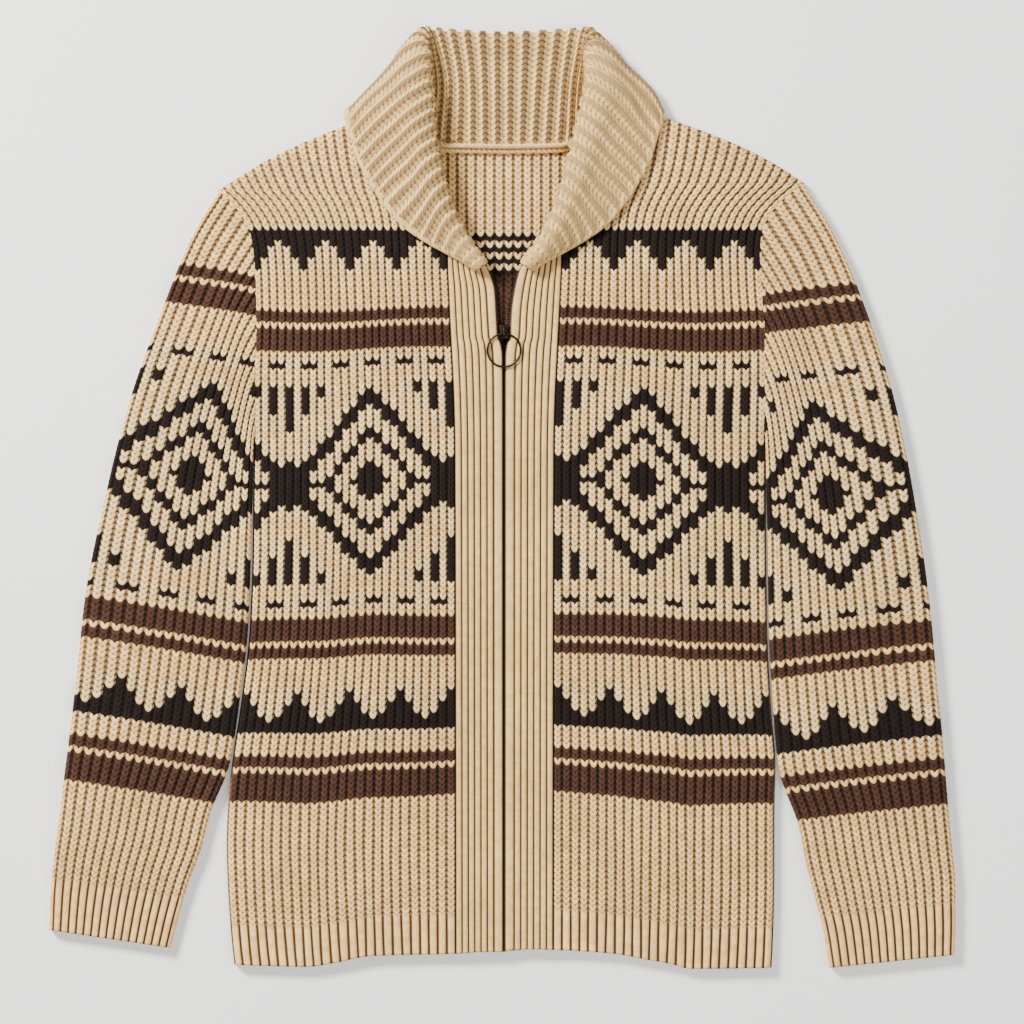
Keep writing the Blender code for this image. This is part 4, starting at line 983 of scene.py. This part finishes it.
def sleeve_surface(side, around, inset, lines, roof):
    """Return one wall of a sleeve as points and v, with rows counted from the cuff."""
    sections = SLEEVE_SECTIONS[side]
    sign = -1.0 if side == "left" else 1.0
    last = len(sections["high"]) - 1
    row = np.linspace(last, 0.0, SLEEVE_SAMPLES)
    read = {name: smooth(np.arange(last + 1), sections[name], row)[:, None] for name in sections}
    width = np.hypot(read["outer_out"] - read["inner_out"], read["outer_up"] - read["inner_up"])
    share, high = flat_tube(around[None, :], width, inset, read["high"])
    armhole = armhole_path(side)
    (tip_out, tip_up), (low_out, low_up) = armhole(np.array(0.0)), armhole(np.array(1.0))
    bow_out, bow_up = armhole(share ** CAP_GATHER)
    fade = (1.0 - row[:, None] / last) ** 2
    out = blend(read["outer_out"], read["inner_out"], share) + SLEEVE_GAP - SLEEVE_TUCK * fade
    out = out + (bow_out - blend(tip_out, low_out, share)) * fade
    up = blend(read["outer_up"], read["inner_up"], share)
    up = up + (bow_up - blend(tip_up, low_up, share)) * fade
    lifted = (high - inset) / (read["high"] - 2.0 * inset)
    high = high + roof * lifted * swell(share) * swell(row[:, None] / last)
    if inset == 0.0:
        high = high + np.clip(lifted * 2.0 - 1.0, 0.0, 1.0) * creases(SLEEVE_CREASES[side], out, up)
    ribs = np.stack([sign * out, up, high], 2)
    steps = np.linalg.norm(np.diff(ribs[..., :2], axis=0), axis=2)
    along = np.concatenate([np.zeros((1, len(around))), np.cumsum(steps, axis=0)])
    reach = np.minimum(lines * STITCH, along[-1][None, :])
    points = np.empty(lines.shape + (3,))
    for column in range(len(around)):
        for axis in range(3):
            points[:, column, axis] = np.interp(reach[:, column], along[:, column],
                                                ribs[:, column, axis])
    return points, reach / STITCH


def make_sleeve(side):
    """Knit one sleeve as a closed tube with its outside and inside."""
    sign = -1.0 if side == "left" else 1.0
    u = np.concatenate([rib_line(SLEEVE_RIBS)[:-1],
                        SLEEVE_RIBS + rib_line(SLEEVE_RIBS, COARSE_STOPS)])
    ribs = 2.0 * SLEEVE_RIBS
    lines = stitch_lines(u, SLEEVE_ROWS)
    points, v = sleeve_surface(side, u / ribs, 0.0, lines, ROOF_RISE)
    rise = rib_relief(u, v, SLEEVE_GROOVE, CUFF_ROWS) + 0.3
    rise = rise - 0.5 * np.exp(-((v * STITCH - 43.0) / 1.6) ** 2)
    rise = rise * ease(v * STITCH, -2.0, 3.0) * ease(points[..., 2], 0.0, 1.5)
    points = lift(points, rise, -sign, tube=True)
    points[..., 2] = np.maximum(points[..., 2], 0.0)
    columns = np.floor((u[:-1] + u[1:]) / 2.0).astype(int)
    codes = chart(np.arange(2 * SLEEVE_RIBS) - 8 + 13, np.arange(SLEEVE_ROWS) + SLEEVE_CHART_SHIFT,
                  place="sleeve")
    colours = colour_faces(codes, columns, np.arange(len(lines) - 1) // ROW_STEPS, 41 + int(sign))
    outside = surface(points, u, v, colours, u / ribs)
    around = np.linspace(0.0, 1.0, 41)
    lines = np.broadcast_to(np.linspace(0.0, SLEEVE_ROWS, 61)[:, None], (61, 41))
    points, v = sleeve_surface(side, around, WALL, lines, ROOF_RISE)
    inside = surface(points, around * ribs, v, plain_faces(points, "cream"), around)
    return close_shell("knit_sleeve_" + side, outside, inside, sleeve_knit, tube=True)


sleeves = {}
for side in ("left", "right"):
    sleeves[side] = make_sleeve(side)
    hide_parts("sleeve_" + side)

# %% [markdown]
# ### The bands
# A band is a narrow ribbed facing that hides the zip. Its ribs run up beside the front's
# and its free edge is thick and round. Above the slider the two bands part in a curve.
# %% Knit the bands
BAND_ROWS = 128
BAND_STRAIGHT_UP = 577.0
BAND_HEM_OUT = (0.6, 41.0)
BAND_GROOVE = 1.9
BAND_CREST = 0.5
BAND_RIM = 0.5


def band_points(side, share, lines):
    """Return where the shares across a band and its rows lie, as out, up and v."""
    edges = BAND_EDGES[side]
    inner_out, outer_out = curve_of(edges, "up", "inner"), curve_of(edges, "up", "outer")
    hem = curve_of(HEM_EDGE[side], "out", "up")(blend(*BAND_HEM_OUT, share))[None, :]
    level = lines * STITCH
    up = np.where(level < BAND_STRAIGHT_UP,
                  hem + level * (BAND_STRAIGHT_UP - hem) / BAND_STRAIGHT_UP, level)
    up = np.minimum(up, blend(BAND_TOP["inner"], BAND_TOP["outer"], share)[None, :])
    return blend(inner_out(up), outer_out(up), share[None, :]), up, np.minimum(lines, up / STITCH)


def make_band(side):
    """Knit one band."""
    sign = -1.0 if side == "left" else 1.0
    u = rib_line(BAND_RIBS)
    lines = stitch_lines(u, BAND_ROWS)
    out, up, v = band_points(side, (u + BAND_RIM * np.minimum(u, 1.0)) / (BAND_RIBS + BAND_RIM),
                             lines)
    mean = blend(BAND_TOP_END_MEAN, BAND_MEAN, 1.0 - ease(up, *BAND_RAMP))
    points = np.stack([sign * out, up, mean + BAND_CREST], 2)
    rise = rib_relief(u, v, BAND_GROOVE, ALL_ROWS) * ease(v * STITCH, -2.0, 3.0)
    points = lift(points, rise, sign)
    outside = surface(points, u, v, plain_faces(points, "trim"), u / BAND_RIBS)
    share = np.array([0.0, 0.5, 1.0])
    lines = np.broadcast_to(np.linspace(0.0, BAND_ROWS, 41)[:, None], (41, 3))
    out, up, v = band_points(side, share, lines)
    points = np.stack([sign * out, up, np.full(up.shape, BAND_INSIDE)], 2)
    inside = surface(points, share * BAND_RIBS, v, plain_faces(points, "trim"), share)
    return close_shell("knit_band_" + side, outside, inside, trim_knit, slot="band_knit")


bands = {}
for side in ("left", "right"):
    bands[side] = make_band(side)
    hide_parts("front_band_" + side)

# %% [markdown]
# ### The collar
# The collar is one wide strip with its ribs across it. From the neck seam a rib climbs
# the stand, turns over the roll and falls to the free edge. Each section is drawn through
# its named points with a curve that turns roundly at each of them, and the stitches are
# then spaced along it. The furrows are as wide as the ribs here.
# %% Knit the collar
SECTION_SAMPLES = 24
COLLAR_ROWS = 44
COLLAR_GROOVE = 2.5
COLLAR_CREST = 0.8
COLLAR_RIM = 4.5
# How much paler the right lapel's painted groove shade is, where the light falls along its furrows.
RIGHT_LAPEL_LIGHT = 0.3


def lean_of(right, out, up):
    """Return how much further out the real collar's own side lies there."""
    near, far, left = (smooth(COLLAR_LEAN["up"], COLLAR_LEAN[column], up)
                       for column in ("right_near", "right_far", "left"))
    lean = np.where(right, blend(near, far, ease(out, LEAN_NEAR_OUT, LEAN_FAR_OUT)), left)
    return lean * ease(out, 0.0, LEAN_FULL_OUT)


def collar_sections(ribs):
    """Return the middle of the collar's wall: a dense section for each place along it."""
    named = []
    rib = np.abs(ribs)
    sign = np.where(ribs < 0.0, -1.0, 1.0)
    for point in SECTION_POINTS:
        rows = COLLAR_INNER if point in ("seam", "stand", "roll") else COLLAR_OUTER
        out, up, high = (smooth(rows["rib"], rows[point + part], rib)
                         for part in ("_out", "_up", "_high"))
        if point not in ("seam", "free"):
            out = out + lean_of(ribs >= 0.0, out, up)
        named.append(np.stack([sign * out, up, high], 1))
    named = np.stack(named)
    spans = np.diff(named, axis=0)
    reach = np.linalg.norm(spans, axis=2, keepdims=True)
    ways = spans / reach
    turns = ways[:-1] * reach[1:] + ways[1:] * reach[:-1]
    turns /= np.linalg.norm(turns, axis=2, keepdims=True)
    turns = np.concatenate([ways[:1], turns, ways[-1:]])
    s = np.linspace(0.0, 1.0, SECTION_SAMPLES, endpoint=False)[:, None, None]
    parts = []
    for k in range(len(spans)):
        part = named[k] * (1 + 2 * s) * (1 - s) ** 2 + named[k + 1] * s * s * (3 - 2 * s)
        part = part + turns[k] * reach[k] * s * (1 - s) ** 2
        parts.append(part - turns[k + 1] * reach[k] * s * s * (1 - s))
    points = np.concatenate(parts + [named[-1:]])
    points[..., 2] = np.maximum(points[..., 2], WALL / 2.0)
    return points


def collar_face(ribs, lines, way, rise_of):
    """Return one face of the collar as points and v, half a wall from its middle."""
    sections = collar_sections(ribs)
    steps = np.linalg.norm(np.diff(sections, axis=0), axis=2)
    along = np.concatenate([np.zeros((1, len(ribs))), np.cumsum(steps, axis=0)])
    reach = np.minimum(lines * STITCH, along[-1][None, :])
    middle = np.empty(lines.shape + (3,))
    for column in range(len(ribs)):
        for axis in range(3):
            middle[:, column, axis] = np.interp(reach[:, column], along[:, column],
                                                sections[:, column, axis])
    share = reach / along[-1][None, :]
    edge_steps = np.minimum(share, 1.0 - share) * 13.0
    half = WALL / 2.0 * np.minimum(1.0, blend(COLLAR_EDGE_SHARE, 1.0, edge_steps / COLLAR_FADE_STEPS))
    v = reach / STITCH
    rise = (half + rise_of(v, share, middle)) * way
    points = lift(middle, rise, 1.0)
    points[..., 2] = np.maximum(points[..., 2], 0.0)
    return points, v


def make_collar():
    """Knit the collar."""
    half = COLLAR_RIBS / 2.0
    u = rib_line(COLLAR_RIBS)
    lines = stitch_lines(u, COLLAR_ROWS)
    at_tip = 0.7 * ease(np.abs(u - half), 20.0, 24.0)

    def visible(v, share, middle):
        from_rim = (v[-1:] - v) * STITCH
        groove = COLLAR_GROOVE * ease(from_rim, 2.0, COLLAR_RIM + 1.5)
        rise = wide_relief(u, v, groove * (1.0 - at_tip)) + COLLAR_CREST
        rise = np.where(middle[..., 2] < 3.0, np.minimum(rise, 0.0) * 0.3, rise)
        return rise * ease(share, -0.02, 0.08) * ease(1.0 - share, -0.03, 0.05)

    points, v = collar_face(u - half, lines, 1.0, visible)
    own, groove_shade_and_float = plain_faces(points, "trim")
    # Near the back centre the stand lies in shadow under the roll, so its grooves get a darker painted
    # shade than the lapels'.
    lapel = ease(np.abs(u[:-1] - half), 6.0, 10.0)[:, None]
    groove_shade_and_float[:] = blend(GROOVE_SHADES_AND_FLOATS["stand"], GROOVE_SHADES_AND_FLOATS["collar"], lapel)[None]
    # Painted light: the right lapel's grooves get less painted shade, as the light falls along its furrows.
    wear_and_painted_light = RIGHT_LAPEL_LIGHT * ease(u[:-1] - half, 7.0, 10.0)[None, :, None]
    groove_shade_and_float[:] = blend(groove_shade_and_float, own, wear_and_painted_light)
    rim = (v[-1:] - v)[:-1, :-1] * STITCH < COLLAR_RIM
    groove_shade_and_float[rim] = own[rim]
    groove_shade_and_float[:] = blend(groove_shade_and_float, own, 0.6 * at_tip[None, :-1, None])
    outside = surface(points, u + 0.5, v, (own, groove_shade_and_float), u / COLLAR_RIBS)
    ribs = np.linspace(-half, half, 4 * COLLAR_RIBS // 2 + 1)
    lines = np.broadcast_to(np.linspace(0.0, COLLAR_ROWS, 45)[:, None], (45, len(ribs)))
    points, v = collar_face(ribs, lines, -1.0, lambda v, share, middle: 0.0)
    inside = surface(points, ribs + half, v, plain_faces(points, "trim"),
                     (ribs + half) / COLLAR_RIBS)
    return close_shell("knit_collar", outside, inside, collar_knit, slot="band_knit")


collar_knit = knit_material("collar_knit", 0.47, 0.72, 0.0, 0.7, 0.08, 0.3)
collar = make_collar()
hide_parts("collar")

# %% [markdown]
# ### The neck cords
# Where the collar is linked to the back, two raised cords run along the neck. Each is a
# pair of yarns twisted round each other, so each is made as two strands on a spiral.
# %% Twist the neck cords
CORD_RADIUS = 2.3
PLY_RADIUS = 1.35
TWISTS = 13


def strand(bm, points, radius, sides=8):
    """Sweep a round strand along points and add it to a mesh."""
    curve = bpy.data.curves.new("strand", "CURVE")
    curve.dimensions = "3D"
    curve.bevel_depth = radius * MM
    curve.bevel_resolution = sides // 2 - 1
    curve.use_fill_caps = True
    spline = curve.splines.new("POLY")
    spline.points.add(len(points) - 1)
    for place, point in zip(spline.points, (points + SHIFT) * MM):
        place.co = (*point, 1.0)
    draft = bpy.data.objects.new("strand", curve)
    bpy.context.scene.collection.objects.link(draft)
    bpy.context.view_layer.update()
    shape = draft.evaluated_get(bpy.context.evaluated_depsgraph_get())
    mesh = bpy.data.meshes.new_from_object(shape)
    bm.from_mesh(mesh)
    bpy.data.objects.remove(draft)
    bpy.data.curves.remove(curve)
    bpy.data.meshes.remove(mesh)


neck_up = curve_of(BACK_NECK, "out", "up")
stand_top = COLLAR_INNER["seam_high"][0] + WALL / 2.0
for name, shift, seat, reach in (("upper", 2.1, stand_top, 55.0), ("lower", -2.0, BACK_TOP, 60.0)):
    bm = bmesh.new()
    along = np.linspace(-1.0, 1.0, 161)
    for ply in (0.0, math.pi):
        turn = along * TWISTS * math.pi + ply
        side = (CORD_RADIUS - PLY_RADIUS) * np.cos(turn)
        lift_up = (CORD_RADIUS - PLY_RADIUS) * np.sin(turn)
        strand(bm, np.stack([along * reach, neck_up(np.abs(along * reach)) + shift + side,
                             seat + CORD_RADIUS + 0.4 + lift_up], 1), PLY_RADIUS)
    finish_piece("knit_cord_" + name, bm, cord_yarn)
    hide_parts("neck_cord_" + name)

# %% [markdown]
# ## The zip
# The tapes are woven, the rest is cast metal with a dark bronze plating that wears
# brighter in small patches. Most of the teeth lie hidden under the bands. One tooth is made
# as a small bevelled block, and copies of it are set along both tapes.
# %% Make the metal and the tape
def bronze_material():
    """Make dark plated bronze with a little wear in it."""
    material, tree, shader = new_material("dark_plated_bronze", 0.45, 0.8)
    place = tree.nodes.new("ShaderNodeTexCoord").outputs["Object"]
    wear = add_node(tree, "ShaderNodeTexNoise", Vector=place, Scale=420.0, Detail=5.0)
    wear_and_painted_light = soft_step(tree, wear.outputs[0], 0.56, 0.76)
    colour = mix_colour(tree, wear_and_painted_light, linear(40, 31, 23), linear(92, 72, 48))
    tree.links.new(colour, shader.inputs["Base Color"])
    rough = soft_step(tree, wear.outputs[0], 0.3, 0.7, 0.55, 0.38)
    tree.links.new(rough, shader.inputs["Roughness"])
    return material


def tape_material():
    """Make dark woven tape: fine twill lines along and across it."""
    material, tree, shader = new_material("dark_woven_tape", 0.8)
    place = tree.nodes.new("ShaderNodeTexCoord").outputs["Object"]
    split = add_node(tree, "ShaderNodeSeparateXYZ", Vector=place)
    turn = 2.0 * math.pi / (0.9 * MM)
    twill = sums(tree, "SINE", sums(tree, "MULTIPLY", sums(tree, "ADD", split.outputs[0],
                                                          split.outputs[1]), turn))
    rib = sums(tree, "SINE", sums(tree, "MULTIPLY", split.outputs[1], turn))
    weave = sums(tree, "MULTIPLY", twill, rib)
    lit = soft_step(tree, weave, -1.0, 1.0)
    tree.links.new(mix_colour(tree, lit, linear(36, 28, 24), linear(70, 55, 46)),
                   shader.inputs["Base Color"])
    bump = add_node(tree, "ShaderNodeBump", Height=weave, Strength=0.4)
    bump.inputs["Distance"].default_value = 0.15 * MM
    tree.links.new(bump.outputs[0], shader.inputs["Normal"])
    return material


bronze = bronze_material()
woven = tape_material()
for node in ("zip_tape_left", "zip_tape_right"):
    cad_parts[node].data.materials.clear()
    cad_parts[node].data.materials.append(woven)
print("metal and tape are ready")

# %% [markdown]
# The teeth are 2.3 mm apart on each tape and step between each other where the zip is
# closed. Above the slider each row follows the curved edge of its tape.
# %% Set the teeth along the tapes
TOOTH_STEP = 2.3
TOOTH_SIZE = (2.6, 1.1, 1.3)
TEETH_FROM_UP = 27.0
TEETH_TO_UP = 590.0
TAPE_PEEK = 1.5
TAPE_CENTRE_CLEAR = 1.2


def tooth_mesh():
    """Return one tooth at the origin: a bevelled block."""
    bm = bmesh.new()
    bmesh.ops.create_cube(bm, size=1.0)
    bmesh.ops.scale(bm, verts=bm.verts, vec=Vector(TOOTH_SIZE) * MM)
    bmesh.ops.bevel(bm, geom=list(bm.edges), offset=0.22 * MM, offset_type="OFFSET", segments=1,
                    profile=0.5, affect="EDGES", material=-1)
    mesh = bpy.data.meshes.new("tooth")
    bm.to_mesh(mesh)
    bm.free()
    return mesh


tooth = tooth_mesh()
for side in ("left", "right"):
    sign = -1.0 if side == "left" else 1.0
    inner_out = curve_of(BAND_EDGES[side], "up", "inner")
    bm = bmesh.new()
    shift = 0.0 if side == "left" else TOOTH_STEP / 2.0
    for up in np.arange(TEETH_FROM_UP + shift, TEETH_TO_UP, TOOTH_STEP):
        if abs(up - 541.5) < 5.0:
            continue
        near = max(TAPE_CENTRE_CLEAR, float(inner_out(np.array(up))) - TAPE_PEEK)
        start = len(bm.verts)
        bm.from_mesh(tooth)
        bm.verts.ensure_lookup_table()
        place = (np.array([sign * (near + 0.2), up, 5.2]) + SHIFT) * MM
        bmesh.ops.translate(bm, verts=bm.verts[start:], vec=Vector(place))
    teeth = finish_piece("zip_teeth_" + side, bm, bronze, smooth_faces=False)
bpy.data.meshes.remove(tooth)

# %% [markdown]
# The slider is a tapered body between two wings with a bridge over it, and the pull is
# one round wire ring. The ring keeps its place in the bridge, where it hangs and swings.
# %% Make the slider and the ring
SLIDER_UP = 541.5
SLIDER_LENGTH = 12.0
SLIDER_WIDTH = 8.2
SLIDER_NARROW = 0.78
SLIDER_LOW = 6.0
SLIDER_HIGH = 10.4
BRIDGE_REACH = 3.9
BRIDGE_HIGH = 14.8
BRIDGE_RADIUS = 0.9
RING_RADIUS = 14.1
RING_WIRE = 0.9


def make_slider():
    """Make the slider with its wings, its waist and its bridge."""
    bm = bmesh.new()
    plate = (SLIDER_HIGH - SLIDER_LOW) * 0.36
    for low, wide in ((SLIDER_LOW, 1.0), (SLIDER_LOW + 0.8, 0.8), (SLIDER_HIGH - plate, 1.0)):
        part = bmesh.ops.create_cube(bm, size=1.0)["verts"]
        tall = plate if wide == 1.0 else SLIDER_HIGH - SLIDER_LOW - 1.6
        for corner in part:
            taper = wide * (1.0 if corner.co.y > 0.0 else SLIDER_NARROW)
            corner.co.x *= SLIDER_WIDTH * taper * MM
            corner.co.y *= SLIDER_LENGTH * MM * wide
            corner.co.z *= tall * MM
        middle = (np.array([0.0, SLIDER_UP, low + tall / 2.0]) + SHIFT) * MM
        bmesh.ops.translate(bm, verts=part, vec=Vector(middle))
    bmesh.ops.bevel(bm, geom=list(bm.edges), offset=0.5 * MM, offset_type="OFFSET", segments=3,
                    profile=0.5, affect="EDGES", material=-1)
    turn = np.linspace(0.0, math.pi, 33)
    forth = np.sign(np.cos(turn)) * np.sqrt(np.abs(np.cos(turn)))
    rise = np.sqrt(np.sin(turn).clip(0.0))
    arch = np.stack([np.zeros(33), SLIDER_UP + BRIDGE_REACH * forth,
                     blend(SLIDER_HIGH - 0.6, BRIDGE_HIGH, rise)], 1)
    strand(bm, arch, BRIDGE_RADIUS, sides=12)
    return finish_piece("zip_slider_cast", bm, bronze)


def make_ring():
    """Spin the ring's round wire about the ring's centre."""
    bm = bmesh.new()
    centre = (np.array([0.0, RING_UP, 12.3]) + SHIFT) * MM
    wire = bmesh.ops.create_circle(bm, segments=16, radius=RING_WIRE * MM)["verts"]
    bmesh.ops.rotate(bm, verts=wire, cent=(0, 0, 0),
                     matrix=Matrix.Rotation(math.pi / 2.0, 3, "X"))
    bmesh.ops.translate(bm, verts=wire, vec=Vector(centre) + Vector((RING_RADIUS * MM, 0, 0)))
    bmesh.ops.spin(bm, geom=list(bm.verts) + list(bm.edges), cent=Vector(centre), axis=(0, 0, 1),
                   angle=2.0 * math.pi, steps=96, use_merge=True)
    return finish_piece("zip_ring", bm, bronze, body="pull_ring")


slider = make_slider()
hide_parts("zip_slider")
ring = make_ring()
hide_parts("zip_pull_ring")
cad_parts["zip_bottom_box"].data.materials.clear()
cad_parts["zip_bottom_box"].data.materials.append(bronze)

SHEETS = [
    (back, 0.480, 0.735, 0.325, ["floor"]),
    (fronts["left"], 0.200, 0.735, 0.129, ["back_panel"]),
    (fronts["right"], 0.200, 0.735, 0.129, ["back_panel"]),
    (sleeves["left"], 0.42, 0.66, 0.145, ["floor"]),
    (sleeves["right"], 0.42, 0.68, 0.150, ["floor"]),
    (bands["left"], 0.045, 0.610, 0.0245, ["front_panel_left"]),
    (bands["right"], 0.045, 0.610, 0.0245, ["front_panel_right"]),
    (collar, 0.46, 0.16, 0.055, ["front_panel_left", "front_panel_right"]),
]

# %% [markdown]
# ## The floor, the light and the camera
# The cardigan lies on a plain pale floor and is seen straight from above. One large soft
# light stands at the upper left, so the ribs shade a little to the lower right, and a
# pale sky fills the rest.
# %% Lay the floor
bm = bmesh.new()
bmesh.ops.create_grid(bm, x_segments=1, y_segments=1, size=3.0)
floor_mesh = bpy.data.meshes.new("floor")
bm.to_mesh(floor_mesh)
bm.free()
floor = bpy.data.objects.new("floor", floor_mesh)
bpy.context.scene.collection.objects.link(floor)
paper, paper_tree, paper_shader = new_material("white_floor", 0.9)
place = paper_tree.nodes.new("ShaderNodeTexCoord").outputs["Object"]
grain = add_node(paper_tree, "ShaderNodeTexNoise", Vector=place, Scale=3.0, Detail=2.0)
tone = mix_colour(paper_tree, soft_step(paper_tree, grain.outputs[0], 0.3, 0.7),
                  (0.93, 0.93, 0.93, 1.0), (0.95, 0.95, 0.95, 1.0))
paper_tree.links.new(tone, paper_shader.inputs["Base Color"])
paper_shader.inputs["Emission Color"].default_value = (1.0, 1.0, 1.0, 1.0)
paper_shader.inputs["Emission Strength"].default_value = 0.2
floor.data.materials.append(paper)

# %% [markdown]
# The camera stands high above with a long lens, so the garment's edges are seen almost
# straight down everywhere, as in a catalogue picture.
# %% Set the lights and the camera
FRAME_WIDTH = 0.8704
CAMERA_HIGH = 4.0
CLOTH_HIGH = 0.009


def area_light(name, place, size, power, tint):
    """Add a large soft light that looks at the garment."""
    light = bpy.data.lights.new(name, "AREA")
    light.shape = "DISK"
    light.size = size
    light.energy = power
    light.color = tint
    lamp = bpy.data.objects.new(name, light)
    lamp.location = place
    lamp.rotation_euler = (Vector((0.0, 0.0, 0.0)) - Vector(place)).to_track_quat("-Z", "Y").to_euler()
    bpy.context.scene.collection.objects.link(lamp)
    return lamp


area_light("key", (-2.0, 1.8, 1.9), 1.0, 285.0, (1.0, 0.98, 0.95))
area_light("fill", (1.8, -1.2, 2.6), 2.2, 55.0, (0.97, 0.98, 1.0))
world = bpy.data.worlds.new("soft_studio")
world.use_nodes = True
world.node_tree.nodes["Background"].inputs["Color"].default_value = (1.0, 1.0, 1.0, 1.0)
world.node_tree.nodes["Background"].inputs["Strength"].default_value = 0.5
bpy.context.scene.world = world

lens = bpy.data.cameras.new("camera")
lens.sensor_width = 36.0
lens.lens = 36.0 * (CAMERA_HIGH - CLOTH_HIGH) / FRAME_WIDTH
camera = bpy.data.objects.new("camera", lens)
camera.location = (0.0081, -0.0115, CAMERA_HIGH)
bpy.context.scene.collection.objects.link(camera)
bpy.context.scene.camera = camera
print("the lens is", round(lens.lens), "mm long")

# %% [markdown]
# The last step prints each knitted piece's area as a multiple of the area of its cut.
# %% Finish
for piece, width, length, cut_area, rests_on in SHEETS:
    half = sum(face.area for face in piece.data.polygons) / 2.0
    print(piece.name, "has", round(half / cut_area, 2), "times the area of its cut")
